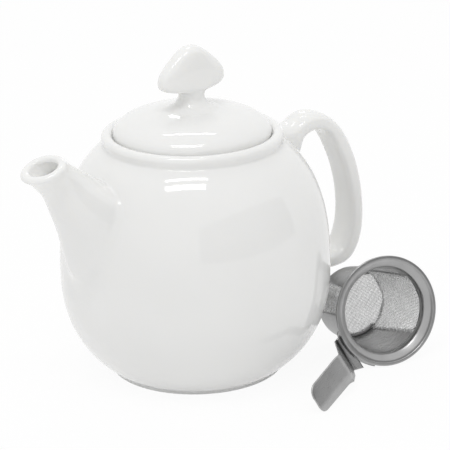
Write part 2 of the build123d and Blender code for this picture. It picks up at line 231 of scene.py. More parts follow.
class StageSettings(bpy.types.PropertyGroup):
    """Camera, lights and floor."""
    azimuth: angle("Camera azimuth", "Bearing of the camera from the -Y direction", -35.0)
    elevation: angle("Camera elevation", "Height angle of the camera", 20.42)
    roll: angle("Camera roll", "Turn of the camera about its own axis", -1.326)
    distance: length("Camera distance", "Distance from the point looked at", 1.1)
    look_height: length("Look height", "Height of the point looked at", 0.058)
    lens: number("Lens", "Focal length in millimetres on a 36 mm sensor", 183.2)
    shift_x: number("Shift X", "Sideways shift of the view", 0.0669)
    shift_y: number("Shift Y", "Upward shift of the view", 0.0525)
    sky: number("Sky", "Strength of the even light from all sides", 0.752)
    strip: number("Strip lights", "Brightness of the strip lights", 8.0)
    strip_distance: length("Strip distance", "Distance of the strip lights from the lid", 1.2)
    card: number("Card", "Brightness of the grey card that the steel mirrors", 0.32)
    card_azimuth: angle("Card azimuth", "Bearing of the grey card from the -Y direction", 14.0)
    card_distance: length("Card distance", "Distance of the grey card from the pot's axis", 1.7)
    card_half_width: length("Card half width", "Half the width of the grey card", 1.7)
    card_low: length("Card foot", "How far the grey card reaches below the table", 0.3)
    card_high: length("Card top", "Height of the grey card over the table", 1.1)
    floor: colour("Floor", "Colour of the floor", (0.95, 0.95, 0.95))
    floor_glow: number("Floor glow", "Share of plain white in the floor as it is seen", 0.93)


class TeapotSettings(bpy.types.PropertyGroup):
    """All settings of the set."""
    pot: bpy.props.PointerProperty(type=PotSizes, name="Pot")
    lid: bpy.props.PointerProperty(type=LidSizes, name="Lid")
    infuser: bpy.props.PointerProperty(type=InfuserSizes, name="Infuser")
    finish: bpy.props.PointerProperty(type=Finishes, name="Finishes")
    stage: bpy.props.PointerProperty(type=StageSettings, name="Stage")


# ---------------------------------------------------------------- grids and meshes

def natural_spline(knots, values, at):
    """Natural cubic spline through values at knots: cubics with equal slopes and bends where they meet, no
    bend at either end, and a straight run past both ends."""
    knots = np.asarray(knots, float)
    values = np.asarray(values, float).reshape(len(knots), -1)
    gap = np.diff(knots)
    slope = np.diff(values, axis=0) / gap[:, None]
    inner = np.arange(1, len(knots) - 1)
    system = np.eye(len(knots))
    system[inner, inner - 1] = gap[:-1]
    system[inner, inner] = 2 * (gap[:-1] + gap[1:])
    system[inner, inner + 1] = gap[1:]
    right = np.zeros_like(values)
    right[1:-1] = 6 * np.diff(slope, axis=0)
    bend = np.linalg.solve(system, right)
    at = np.asarray(at, float)
    held = np.clip(at, knots[0], knots[-1])
    i = np.clip(np.searchsorted(knots, held) - 1, 0, len(knots) - 2)
    h = gap[i][..., None]
    after = (held - knots[i])[..., None]
    before = h - after
    inside = ((bend[i] * before**3 + bend[i + 1] * after**3) / (6 * h)
              + (values[i] / h - bend[i] * h / 6) * before
              + (values[i + 1] / h - bend[i + 1] * h / 6) * after)
    run = ((bend[i + 1] * after**2 - bend[i] * before**2) / (2 * h) + (values[i + 1] - values[i]) / h
           - h * (bend[i + 1] - bend[i]) / 6)
    return inside + run * (at - held)[..., None]


def chord_knots(points):
    """Share of the summed straight distances between points, from 0 at the first to 1 at the last."""
    steps = np.linalg.norm(np.diff(np.asarray(points, float), axis=0), axis=1)
    return np.concatenate([[0.0], np.cumsum(steps)]) / steps.sum()


def soft_corners(corners, cuts, steps=5):
    """Open polyline whose inner corners are quadratic curves that start and end a cut from the corner."""
    corners = np.asarray(corners, float)
    share = np.linspace(0, 1, steps)[:, None]
    line = [corners[:1]]
    for before, corner, after, cut in zip(corners[:-2], corners[1:-1], corners[2:], cuts):
        start = corner + (before - corner) * cut / np.linalg.norm(before - corner)
        end = corner + (after - corner) * cut / np.linalg.norm(after - corner)
        line.append((1 - share)**2 * start + 2 * share * (1 - share) * corner + share**2 * end)
    line.append(corners[-1:])
    return np.concatenate(line)


def even_steps(line, pitch):
    """The same open polyline with extra points so that no step is longer than pitch."""
    pieces = [line[:1]]
    for start, end in zip(line[:-1], line[1:]):
        count = max(1, math.ceil(np.linalg.norm(end - start) / pitch))
        pieces.append(start + (end - start) * np.arange(1, count + 1)[:, None] / count)
    return np.concatenate(pieces)


def smooth_step(share):
    """Soft rise from 0 to 1: three times the share squared less twice its cube."""
    share = np.clip(share, 0, 1)
    return share * share * (3 - 2 * share)


def eased(value, start, end):
    """Soft rise from 0 at start to 1 at end: the squared sine of a quarter turn."""
    return np.sin(np.clip((value - start) / (end - start), 0, 1) * math.pi / 2)**2


def positive(bearing):
    """The same bearing between 0 and a full turn."""
    return np.where(bearing < 0, bearing + 2 * math.pi, bearing)


def revolved(line, columns, first_turn=0.0):
    """Grid of a (radius, height) line turned once about the Z axis: x = r cos, y = r sin, z = height."""
    turn = first_turn + np.linspace(0, 2 * math.pi, columns + 1)
    radius = line[:, 0][:, None]
    height = np.broadcast_to(line[:, 1][:, None], (len(line), columns + 1))
    return np.stack([radius * np.cos(turn), radius * np.sin(turn), height], -1)


def power_wave(value, power):
    """Sign of a sine or cosine times its size to the power 2/power, the coordinate of a superellipse."""
    return np.sign(value) * np.abs(value) ** (2 / power)


def grid_faces(rows, columns):
    """Corner numbers of the quads of a grid, as rows-1 by columns-1 by 4."""
    index = np.arange(rows * columns).reshape(rows, columns)
    return np.stack([index[:-1, :-1], index[:-1, 1:], index[1:, 1:], index[1:, :-1]], -1)


def mesh_from_grids(name, grids, holes=()):
    """One closed mesh from grids whose borders coincide: the grids' quads are laid down, borders and poles
    are merged by distance, and the faces are turned outwards. holes gives (grid number, rows, columns) to
    leave out."""
    points, faces, start = [], [], 0
    for number_, grid in enumerate(grids):
        rows, columns = grid.shape[:2]
        quads = grid_faces(rows, columns) + start
        keep = np.ones(quads.shape[:2], bool)
        for hole_grid, hole_rows, hole_columns in holes:
            if hole_grid == number_:
                keep[hole_rows, hole_columns] = False
        points.append(grid.reshape(-1, 3))
        faces.append(quads[keep])
        start += rows * columns
    points = np.concatenate(points)
    faces = np.concatenate(faces)
    used, faces = np.unique(faces, return_inverse=True)
    mesh = bpy.data.meshes.new(name)
    fill_mesh(mesh, points[used], faces.reshape(-1, 4))
    shape = bmesh.new()
    shape.from_mesh(mesh)
    bmesh.ops.remove_doubles(shape, verts=shape.verts, dist=MERGE_DISTANCE)
    bmesh.ops.recalc_face_normals(shape, faces=shape.faces)
    shape.to_mesh(mesh)
    shape.free()
    smooth(mesh)
    return mesh


def fill_mesh(mesh, points, quads):
    """Writes points and four-cornered faces into an empty mesh."""
    mesh.vertices.add(len(points))
    mesh.vertices.foreach_set("co", np.ascontiguousarray(points, np.float32).ravel())
    mesh.loops.add(quads.size)
    mesh.loops.foreach_set("vertex_index", np.ascontiguousarray(quads, np.int32).ravel())
    mesh.polygons.add(len(quads))
    mesh.polygons.foreach_set("loop_start", np.arange(0, quads.size, 4, dtype=np.int32))
    mesh.update(calc_edges=True)


def smooth(mesh):
    """Shades every face of a mesh smooth."""
    mesh.polygons.foreach_set("use_smooth", np.ones(len(mesh.polygons), bool))
    mesh.update()


def plain_mesh(name, points, faces):
    """Mesh straight from points and quads that already face outwards."""
    mesh = bpy.data.meshes.new(name)
    fill_mesh(mesh, points, faces)
    smooth(mesh)
    return mesh


def axes_matrix(x, y, z, origin):
    """Matrix that has the given axes as its columns and its origin at a point."""
    matrix = Matrix((x, y, z)).transposed().to_4x4()
    matrix.translation = origin
    return matrix


def placed(mesh, material):
    """Object of a mesh with its material, linked to the scene."""
    piece = bpy.data.objects.new(mesh.name, mesh)
    bpy.context.scene.collection.objects.link(piece)
    mesh.materials.append(material)
    return piece


def add_piece(mesh, body, slot, material, *nodes):
    """Piece of a finished mesh with its material, which rides on a body and hides the CAD nodes that it
    stands in for. The slot is not used.
    """
    piece = placed(mesh, material)
    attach(piece, body)
    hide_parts(*nodes)


# ---------------------------------------------------------------- finishes

class Tree:
    """Short hand for building the node tree of a material or a world, from an empty one."""

    def __init__(self, owner):
        """Empties the owner's node tree."""
        owner.use_nodes = True
        self.tree = owner.node_tree
        self.tree.nodes.clear()

    def add(self, kind, values=None, **settings):
        """Adds a node, with values for its inputs by name or number and settings for its own options."""
        node = self.tree.nodes.new(kind)
        for key, value in settings.items():
            setattr(node, key, value)
        for key, value in (values or {}).items():
            node.inputs[key].default_value = value
        return node

    def link(self, source, target):
        """Joins an output to an input."""
        self.tree.links.new(source, target)

    def mixed(self, share, first, second):
        """Mixes two shaders by a share, from the first at 0 to the second at 1."""
        node = self.add("ShaderNodeMixShader")
        self.link(share, node.inputs["Fac"])
        self.link(first, node.inputs[1])
        self.link(second, node.inputs[2])
        return node.outputs["Shader"]

    def seen(self):
        """1 for rays from the camera, a mirror or a glass, 0 for the light's own paths."""
        path = self.add("ShaderNodeLightPath")
        total = path.outputs["Is Camera Ray"]
        for name in ("Is Glossy Ray", "Is Transmission Ray"):
            larger = self.add("ShaderNodeMath", operation="MAXIMUM")
            self.link(total, larger.inputs[0])
            self.link(path.outputs[name], larger.inputs[1])
            total = larger.outputs["Value"]
        return total


class Nodes(Tree):
    """A material with a principled shader, and short hand for the patterns that drive it."""

    def __init__(self, name, **shader_values):
        """Makes the material, its shader with the given uniform values, and the place on the piece."""
        self.material = bpy.data.materials.get(name) or bpy.data.materials.new(name)
        super().__init__(self.material)
        self.shader = self.add("ShaderNodeBsdfPrincipled")
        for key, value in shader_values.items():
            self.shader.inputs[key.replace("_", " ")].default_value = value
        output = self.add("ShaderNodeOutputMaterial")
        self.link(self.shader.outputs["BSDF"], output.inputs["Surface"])
        self.place = self.add("ShaderNodeTexCoord").outputs["Object"]

    def drive(self, **sources):
        """Lets outputs of other nodes drive the shader's inputs."""
        for key, source in sources.items():
            self.link(source, self.shader.inputs[key.replace("_", " ")])

    def noise(self, vector, scale, detail=3.0):
        """Cloudy noise at a number of clouds per metre."""
        node = self.add("ShaderNodeTexNoise", {"Scale": scale, "Detail": detail})
        self.link(vector, node.inputs["Vector"])
        return node.outputs["Fac"]

    def ramp(self, value, low, high):
        """Stretches noise, which lies mostly between 0.3 and 0.7, over the range from low to high."""
        node = self.add("ShaderNodeMapRange", {"From Min": 0.3, "From Max": 0.7,
                                               "To Min": low, "To Max": high})
        self.link(value, node.inputs["Value"])
        return node.outputs["Result"]

    def blend(self, value, first, second):
        """Mixes two colours by a value; each is a plain colour or another node's output."""
        node = self.add("ShaderNodeMix", data_type="RGBA")
        for socket, tone in ((node.inputs[6], first), (node.inputs[7], second)):
            if isinstance(tone, tuple):
                socket.default_value = (*tone, 1.0)
            else:
                self.link(tone, socket)
        self.link(value, node.inputs[0])
        return node.outputs[2]

    def bump(self, height, strength, distance, normal=None):
        """Bump from a height, of a strength and a depth in metres, on top of another bump if one is
        given."""
        node = self.add("ShaderNodeBump", {"Strength": strength, "Distance": distance})
        self.link(height, node.inputs["Height"])
        if normal is not None:
            self.link(normal, node.inputs["Normal"])
        return node.outputs["Normal"]


def shaded(tone, factor):
    """A colour times a factor."""
    return tuple(min(1.0, channel * factor) for channel in tone)


def glaze_material(finish):
    """White gloss glaze: faint clouds in its colour, a slow ripple and a trace of orange peel in its
    gloss."""
    nodes = Nodes("white glaze", IOR=1.52, Subsurface_Weight=finish.glaze_depth,
                  Subsurface_Radius=(1.0, 0.97, 0.9), Subsurface_Scale=0.005)
    clouds, marks, ripples, peel = 22.0, 60.0, 55.0, 420.0
    tone, rough = tuple(finish.glaze), finish.glaze_roughness
    cloud = nodes.ramp(nodes.noise(nodes.place, clouds, 2.0), 0.0, 1.0)
    slow = nodes.bump(nodes.noise(nodes.place, ripples, 1.0), 0.02, 0.0005)
    nodes.drive(Base_Color=nodes.blend(cloud, shaded(tone, 0.985), shaded(tone, 1.01)),
                Roughness=nodes.ramp(nodes.noise(nodes.place, marks), rough * 0.8, rough * 1.3),
                Normal=nodes.bump(nodes.noise(nodes.place, peel, 1.0), 0.015, 0.0002, slow))
    return nodes.material


def ring_grain(nodes, apart):
    """Place in the grain of turned sheet: distance from the axis and height, so that lines run round it."""
    flat = nodes.add("ShaderNodeCombineXYZ")
    radius = nodes.add("ShaderNodeVectorMath", operation="LENGTH")
    grain = nodes.add("ShaderNodeCombineXYZ")
    nodes.link(apart.outputs["X"], flat.inputs["X"])
    nodes.link(apart.outputs["Y"], flat.inputs["Y"])
    nodes.link(flat.outputs["Vector"], radius.inputs[0])
    nodes.link(radius.outputs["Value"], grain.inputs["X"])
    nodes.link(apart.outputs["Z"], grain.inputs["Y"])
    return grain.outputs["Vector"]


def long_grain(nodes, apart):
    """Place in the grain of a strap: its length is drawn out 25 times, so that lines run along it."""
    stretch = nodes.add("ShaderNodeMath", {1: 0.04}, operation="MULTIPLY")
    grain = nodes.add("ShaderNodeCombineXYZ")
    nodes.link(apart.outputs["X"], stretch.inputs[0])
    nodes.link(stretch.outputs["Value"], grain.inputs["X"])
    nodes.link(apart.outputs["Y"], grain.inputs["Y"])
    nodes.link(stretch.outputs["Value"], grain.inputs["Z"])
    return grain.outputs["Vector"]


def steel_material(finish, name, matrix, grain, shade=1.0, inner_painted_light=1.0):
    """Satin steel: fine grain lines laid by a grain function in the frame of a matrix, with soft stains. The
    shade factor darkens the steel as painted shade; where a piece has the attribute "inside", its points
    marked 1 take the inner painted light instead: a lighter copy of the steel, painted light against the
    shade of the basket's hollow."""
    nodes = Nodes(name, Metallic=1.0)
    lines_per_metre, stains = 3200.0, 140.0
    turned = nodes.add("ShaderNodeMapping", {"Location": matrix.to_translation(),
                                             "Rotation": matrix.to_euler("XYZ")}, vector_type="TEXTURE")
    apart = nodes.add("ShaderNodeSeparateXYZ")
    nodes.link(nodes.place, turned.inputs["Vector"])
    nodes.link(turned.outputs["Vector"], apart.inputs["Vector"])
    lines = nodes.noise(grain(nodes, apart), lines_per_metre, 2.0)
    stain = nodes.ramp(nodes.noise(nodes.place, stains), 0.0, 1.0)
    inside = nodes.add("ShaderNodeAttribute", attribute_name="inside").outputs["Fac"]
    # painted shade and light: outer is the steel darkened as painted shade, inner the steel lightened as
    # painted light for the basket's inside
    outer, inner = shaded(finish.steel, shade), shaded(finish.steel, inner_painted_light)
    dull, bright = (nodes.blend(inside, shaded(outer, part), shaded(inner, part)) for part in (0.93, 1.05))
    rough = finish.steel_roughness
    nodes.drive(Base_Color=nodes.blend(stain, dull, bright),
                Roughness=nodes.ramp(lines, rough * 0.85, rough * 1.2),
                Normal=nodes.bump(lines, 0.05, 0.00003))
    return nodes.material


def wire_material(finish):
    """Bright drawn wire with small differences from wire to wire."""
    nodes = Nodes("woven wire", Metallic=1.0)
    stains, scuffs = 260.0, 900.0
    tone, rough = tuple(finish.wire), finish.wire_roughness
    stain = nodes.ramp(nodes.noise(nodes.place, stains, 2.0), 0.0, 1.0)
    nodes.drive(Base_Color=nodes.blend(stain, shaded(tone, 0.9), shaded(tone, 1.06)),
                Roughness=nodes.ramp(nodes.noise(nodes.place, scuffs), rough * 0.8, rough * 1.2))
    return nodes.material


# ---------------------------------------------------------------- pot

class PotShape:
    """The pot's surfaces as functions of height, line and turn, in metres."""

    # The grid round the pot's axis, and how many columns to each side of handle and spout are cut out.
    COLUMNS = 192
    FIRST_TURN = -math.pi / 2
    HANDLE_SPAN = 8
    SPOUT_SPAN = 18
    # Rows of the outer grid below the handle's lower root, at each root and between the two; the heights in
    # millimetres between which the two roots and the spout's hole lie.
    LOW_ROWS, ROOT_ROWS, MIDDLE_ROWS = 14, 24, 25
    LOW_ROOT, HIGH_ROOT, SPOUT_HOLE = (26.5, 43.5), (88.5, 114.6), (41.5, 108.6)
    # The same for the grid inside: its rows below and above the hole for the spout's passage, its ends and
    # that hole.
    INSIDE_ROWS, INSIDE_TOP_ROWS = 17, 3
    INSIDE, BORE_HOLE = (9.0, 107.0), (42.0, 103.0)
    # The spout: the bearing and spread of its root's upper corners and where along it they fade; where its
    # underside is drawn in; where its lip swells, how fast and how much of it all round; where its passage
    # narrows; how fast the crease changes round the root; how far the lip stands back from the end.
    SHOULDER_TURN, SHOULDER_SPREAD, SHOULDER_FADE = math.radians(58), math.radians(24), (0.4, 0.8)
    NECK_PLACE, NECK_SPREAD = 0.84, 0.1
    FLARE_START, FLARE_POWER, FLARE_ALL_ROUND = 0.94, 1.4, 0.6
    THROAT_LIP, THROAT_FADE = 0.88, (0.4, 0.8)
    CREASE_POWER = 1.1
    LIP_SETBACK = 0.9 * MM
    # The handle: between which shares of its length its lines pass the skin at its upper and lower end, and
    # by what share the upper root is smaller on the handle's outer side.
    UPPER_END, LOWER_END, UPPER_ROOT_CUT = (0.0, 0.12), (1.0, 0.88), 0.4
    # How often the search for where a line passes a skin halves its span.
    HALVINGS = 36

    def __init__(self, sizes):
        """Works out the sizes that follow from others, and the lines of spout and handle."""
        self.s = sizes
        self.lip_round = sizes.lip_width / 2
        self.lip_radius = sizes.seat_radius + sizes.lip_width
        self.lip_top = POT_HIGH.z
        self.lip_centre = self.lip_top - self.lip_round
        self.neck_height = sizes.ledge_height - sizes.neck_drop
        self.neck_radius = self.lip_radius - sizes.neck_set_in
        neck_share = self.neck_radius / sizes.belly_radius
        foot_share = sizes.foot_radius / sizes.belly_radius
        self.shoulder_rise = ((self.neck_height - sizes.belly_height)
                              / self.quarter_reach(neck_share, sizes.shoulder_power))
        self.base_drop = ((sizes.belly_height - sizes.foot_height)
                          / self.quarter_reach(foot_share, sizes.base_power))
        stations = [(-sizes.belly_radius - reach * MM, sizes.ledge_height + rise * MM, math.radians(pitch),
                     radius * MM, width)
                    for (reach, rise, radius), pitch, width
                    in zip(SPOUT_SECTIONS, SPOUT_ANGLES, SPOUT_WIDTHS)]
        self.spout_stations = np.array(stations)
        self.spout_knots = chord_knots(self.spout_stations[:, :2])
        self.handle_edges = [self.handle_edge(HANDLE_OUTER), self.handle_edge(HANDLE_INNER)]

    @staticmethod
    def quarter_reach(share, power):
        """How far along one axis of a unit superellipse a point lies whose other coordinate is share."""
        return (1 - share**power) ** (1 / power)

    def belly(self, z, inset=0.0):
        """Radius of the belly at heights z: one superellipse quarter above the widest circle, one below."""
        s = self.s
        up = z >= s.belly_height
        semi = np.where(up, self.shoulder_rise, self.base_drop) - inset
        power = np.where(up, s.shoulder_power, s.base_power)
        share = np.clip(np.abs(z - s.belly_height) / semi, 0, 1)
        return (s.belly_radius - inset) * (1 - share**power) ** (1 / power)

    def skin(self, z):
        """Outer radius at heights z: the larger of belly and collar wall with a soft corner, which is half
        their sum plus half the root of their difference squared plus the softness squared."""
        belly = self.belly(z)
        lean = (self.lip_radius - self.neck_radius) / (self.lip_centre - self.neck_height)
        collar = self.lip_radius - lean * (self.lip_centre - z)
        return (belly + collar + np.sqrt((belly - collar)**2 + self.s.cove**2)) / 2

    def inner_skin(self, z):
        """Inner radius of the pot's wall at heights z."""
        return self.belly(z, self.s.wall)

    def spout(self, t, turn, inset=0.0, advance=0.0):
        """Point of the spout's skin at share t of its length and an angle round it, zero at its underside:
        centre - cos * radius * up + sin * radius * width * sideways, moved along the section's normal."""
        s = self.s
        station = natural_spline(self.spout_knots, self.spout_stations, t)
        x, z, pitch, radius, width = np.moveaxis(station, -1, 0)
        under = np.cos(turn)
        run = np.clip((t - self.FLARE_START) / (1 - self.FLARE_START), 0, 1)
        swell = s.spout_flare * run**self.FLARE_POWER * np.clip(1 - inset / s.spout_wall, 0, 1)
        off_corner = (np.abs(np.pi - np.mod(turn, 2 * np.pi)) - self.SHOULDER_TURN) / self.SHOULDER_SPREAD
        corner = 1 + s.spout_shoulder * (1 - eased(t, *self.SHOULDER_FADE)) * np.exp(-off_corner**2)
        drawn_in = np.exp(-((t - self.NECK_PLACE) / self.NECK_SPREAD)**2) * (1 + under) / 2
        radius = radius - s.spout_neck * drawn_in
        even = self.FLARE_ALL_ROUND
        up = -under * (radius * corner - inset + swell * (even + (1 - even) * under))
        side = np.sin(turn) * (radius * width * corner - inset + swell * even)
        return np.stack([x + up * np.sin(pitch) - advance * np.cos(pitch), -side,
                         z + up * np.cos(pitch) + advance * np.sin(pitch)], -1)

    def bore(self, t, turn):
        """Point of the spout's passage: the skin set in by the wall, and by a soft throat behind the lip."""
        throat = self.s.spout_throat * eased(t, 1.0, self.THROAT_LIP) * eased(t, *self.THROAT_FADE)
        return self.spout(t, turn, self.s.spout_wall + throat)

    def handle_edge(self, edge):
        """Points of one edge of the handle, with a point under the belly's skin at both ends."""
        stretch = ((self.s.belly_radius + self.s.handle_reach - self.neck_radius)
                   / (max(reach for reach, rise in HANDLE_OUTER) * MM))
        points = [(self.neck_radius + reach * MM * stretch, self.s.ledge_height + rise * MM)
                  for reach, rise in edge]
        sink = self.s.handle_sink
        top = points[0][1] - sink
        first = (float(self.belly(np.array(top))) - sink, top)
        last = (float(self.belly(np.array(points[-1][1]))) - sink, points[-1][1])
        return np.array([first] + points + [last])

    def handle(self, t, turn):
        """Point of the handle's skin at share t of its length: a superellipse section between the two edges,
        with the angle zero on the inner edge at the top."""
        outer, inner = (natural_spline(chord_knots(edge), edge, t) for edge in self.handle_edges)
        power = np.where(np.cos(turn) < 0, self.s.handle_outer_power, self.s.handle_inner_power)
        across = power_wave(-np.cos(turn), power)[..., None]
        middle = (outer + inner) / 2 + (outer - inner) / 2 * across
        side = power_wave(np.sin(turn), power) * self.s.handle_width / 2
        return np.stack([middle[..., 0], np.broadcast_to(side, middle.shape[:-1]), middle[..., 1]], -1)

    def crossing(self, tube, turn, low, high, skin):
        """Share of a tube's length at which each of its lines passes a skin, by halving: low is inside the
        skin and high outside."""
        low, high = np.full(turn.shape, low), np.full(turn.shape, high)
        for _ in range(self.HALVINGS):
            middle = (low + high) / 2
            point = tube(middle, turn)
            outside = np.hypot(point[..., 0], point[..., 1]) > skin(point[..., 2])
            high = np.where(outside, middle, high)
            low = np.where(outside, low, middle)
        return (low + high) / 2

    def root(self, tube, turn, at, centre, reach, away, skin, steps=9):
        """Soft corner between a skin and a tube, a quadratic curve for each line of the tube: it starts on
        the skin at a reach from where the line passes it, bends by that passing point and ends on the line
        as far along. Away is 1 where the line leaves the skin towards higher shares of its length, and -1
        where it does so towards lower ones."""
        point = tube(at, turn)
        step = 1e-4
        ahead = tube(at + away * step, turn) - point
        start_at = at + away * step * reach / np.linalg.norm(ahead, axis=-1)
        on_tube = tube(start_at, turn)
        slope = (skin(point[..., 2] + step) - skin(point[..., 2] - step)) / (2 * step)
        bearing = np.arctan2(point[..., 1], point[..., 0])
        normal = np.stack([np.cos(bearing), np.sin(bearing), -slope], -1)
        normal /= np.linalg.norm(normal, axis=-1)[..., None]
        outward = point - centre
        outward -= (outward * normal).sum(-1)[..., None] * normal
        outward /= np.linalg.norm(outward, axis=-1)[..., None]
        spot = point + outward * reach[..., None]
        bearing = np.unwrap(np.arctan2(spot[..., 1], spot[..., 0]))
        height = spot[..., 2]
        on_skin = self.on_skin(bearing, height, skin)
        share = np.linspace(0, 1, steps)[:, None, None]
        curve = (1 - share)**2 * on_skin + 2 * share * (1 - share) * point + share**2 * on_tube
        return curve, bearing, height, start_at

    @staticmethod
    def on_skin(bearing, height, skin):
        """Point of a surface of revolution at a bearing and a height."""
        radius = skin(height)
        return np.stack([radius * np.cos(bearing), radius * np.sin(bearing), height], -1)

    @staticmethod
    def border(rows, columns):
        """Row and column numbers round a rectangle of a grid, from the middle of its lowest side towards
        higher columns and back to the start."""
        (r0, r1), (c0, c1) = rows, columns
        middle = (c0 + c1) // 2
        row = np.concatenate([np.full(c1 - middle, r0), np.arange(r0, r1), np.full(c1 - c0, r1),
                              np.arange(r1, r0, -1), np.full(middle - c0 + 1, r0)])
        column = np.concatenate([np.arange(middle, c1), np.full(r1 - r0, c1), np.arange(c1, c0, -1),
                                 np.full(r1 - r0, c0), np.arange(c0, middle + 1)])
        return row, column

    def skirt(self, border_bearing, border_height, bearing, height, skin, steps=7):
        """Piece of skin between a grid's hole and a tube's root: bearing and height change evenly."""
        share = np.linspace(0, 1, steps)[:, None]
        bearing = border_bearing + (bearing - border_bearing) * share
        height = border_height + (height - border_height) * share
        return self.on_skin(bearing, height, skin)

    def outer_heights(self):
        """Heights of the outer grid's rows, closer together at the handle's roots and in the neck's cove."""
        root_low, root_high = (height * MM for height in self.LOW_ROOT)
        neck_low, neck_high = (height * MM for height in self.HIGH_ROOT)
        low = np.linspace(self.s.foot_height, root_low, self.LOW_ROWS + 1)
        root = np.linspace(root_low, root_high, self.ROOT_ROWS + 1)
        middle = np.linspace(root_high, neck_low, self.MIDDLE_ROWS + 1)
        fine = np.linspace(neck_low, neck_high, 400)
        crowding, crowded = 2.2, 2.2 * MM
        weight = np.hypot(np.diff(fine), np.diff(self.skin(fine)))
        weight *= 1 + crowding * np.exp(-((fine[1:] - self.neck_height) / crowded)**2)
        share = np.concatenate([[0.0], np.cumsum(weight)]) / weight.sum()
        top = np.interp(np.linspace(0, 1, self.ROOT_ROWS + 1), share, fine)
        return np.concatenate([low, root[1:], middle[1:], top[1:], [self.lip_centre]])

    def grids(self):
        """All grids of the pot, and the holes in the two grids of revolution."""
        turn = self.FIRST_TURN + np.linspace(0, 2 * math.pi, self.COLUMNS + 1)
        heights = self.outer_heights()
        outer = self.on_skin(*np.broadcast_arrays(turn[None], heights[:, None]), self.skin)
        handle_columns = (self.COLUMNS // 4 - self.HANDLE_SPAN, self.COLUMNS // 4 + self.HANDLE_SPAN)
        spout_columns = (3 * self.COLUMNS // 4 - self.SPOUT_SPAN, 3 * self.COLUMNS // 4 + self.SPOUT_SPAN)
        low_rows = (self.LOW_ROWS, self.LOW_ROWS + self.ROOT_ROWS)
        high_start = low_rows[1] + self.MIDDLE_ROWS
        high_rows = (high_start, high_start + self.ROOT_ROWS)
        spout_rows = tuple(int(np.argmin(np.abs(heights - height * MM))) for height in self.SPOUT_HOLE)

        inside_low, inside_high = (height * MM for height in self.INSIDE)
        bore_low, bore_high = (height * MM for height in self.BORE_HOLE)
        row_count = spout_rows[1] - spout_rows[0]
        inner_rows = (self.INSIDE_ROWS, self.INSIDE_ROWS + row_count)
        inner_heights = np.concatenate([np.linspace(inside_low, bore_low, self.INSIDE_ROWS + 1),
                                        np.linspace(bore_low, bore_high, row_count + 1)[1:],
                                        np.linspace(bore_high, inside_high, self.INSIDE_TOP_ROWS + 1)[1:]])
        inner = self.on_skin(*np.broadcast_arrays(turn[None], inner_heights[:, None]), self.inner_skin)

        grids = [outer, inner]
        holes = [(0, slice(*low_rows), slice(*handle_columns)),
                 (0, slice(*high_rows), slice(*handle_columns)),
                 (0, slice(*spout_rows), slice(*spout_columns)),
                 (1, slice(*inner_rows), slice(*spout_columns))]
        grids += self.rings_of_revolution(turn, inner_heights)
        grids += self.spout_grids(turn, heights, inner_heights, spout_rows, inner_rows, spout_columns)
        grids += self.handle_grids(turn, heights, low_rows, high_rows, handle_columns)
        return grids, holes

    def rings_of_revolution(self, turn, inner_heights):
        """Lip, ledge, mouth and roof inside, and floor and foot: the rest of the pot's section."""
        s = self.s
        outer_edge = float(self.skin(np.array(self.lip_centre)))
        across = (outer_edge - s.seat_radius) / 2
        lip_turn = np.linspace(0, math.pi, 22)
        lip = np.stack([s.seat_radius + across + across * np.cos(lip_turn),
                        self.lip_centre + self.lip_round * np.sin(lip_turn)], -1)
        roof = s.ledge_height - s.shelf
        top_height = inner_heights[-1]
        top_radius = float(self.inner_skin(np.array(top_height)))
        roof_slope = 2 * MM
        inward = soft_corners([lip[-1], (s.seat_radius, s.ledge_height), (s.mouth_radius, s.ledge_height),
                               (s.mouth_radius, roof), (top_radius - roof_slope, roof),
                               (top_radius, top_height)],
                              [2.6 * MM, 1.0 * MM, 1.2 * MM, 1.4 * MM])
        upper = even_steps(np.concatenate([lip, inward[1:]]), 2 * MM)
        low_height = inner_heights[0]
        low_radius = float(self.inner_skin(np.array(low_height)))
        floor_slope = 3.2 * MM
        lower = soft_corners([(low_radius, low_height), (low_radius - floor_slope, s.floor), (0, s.floor)],
                             [3.0 * MM])
        recess = s.foot_radius - s.foot_width
        foot_edge = float(self.skin(np.array(s.foot_height)))
        foot = soft_corners([(0, s.foot_recess), (recess - s.foot_recess, s.foot_recess), (recess, 0),
                             (s.foot_radius, 0), (foot_edge, s.foot_height)],
                            [0.6 * MM, 0.5 * MM, 0.6 * MM])
        columns = len(turn) - 1
        pitch = 2.5 * MM
        return [revolved(even_steps(line, pitch), columns, self.FIRST_TURN) for line in (upper, lower, foot)]

    def spout_grids(self, turn, heights, inner_heights, rows, inner_rows, columns):
        """Skin round the spout's root, root, tube, lip, bore and the skin round the bore inside."""
        s = self.s
        row, column = self.border(rows, columns)
        round_ = np.linspace(0, 2 * math.pi, len(row))
        inside, outside = 0.0, 0.9
        at = self.crossing(self.spout, round_, inside, outside, self.skin)
        upper_share = (1 - np.cos(round_)) / 2
        reach = s.spout_root + (s.spout_crease - s.spout_root) * upper_share**self.CREASE_POWER
        centre = (self.spout(at, round_) + self.spout(at, round_ + math.pi)) / 2
        corner, bearing, height, start = self.root(self.spout, round_, at, centre, reach, 1.0, self.skin)
        skirt = self.skirt(turn[column], heights[row], positive(bearing), height, self.skin)

        end = 1 - self.LIP_SETBACK / self.chord_length()
        tube = self.spout(start + (end - start) * np.linspace(0, 1, 56)[:, None], round_)
        half = s.spout_wall / 2
        lip_turn = np.linspace(0, math.pi, 13)[:, None]
        lip = self.spout(np.full_like(round_, end), round_, half * (1 - np.cos(lip_turn)),
                         half * np.sin(lip_turn))

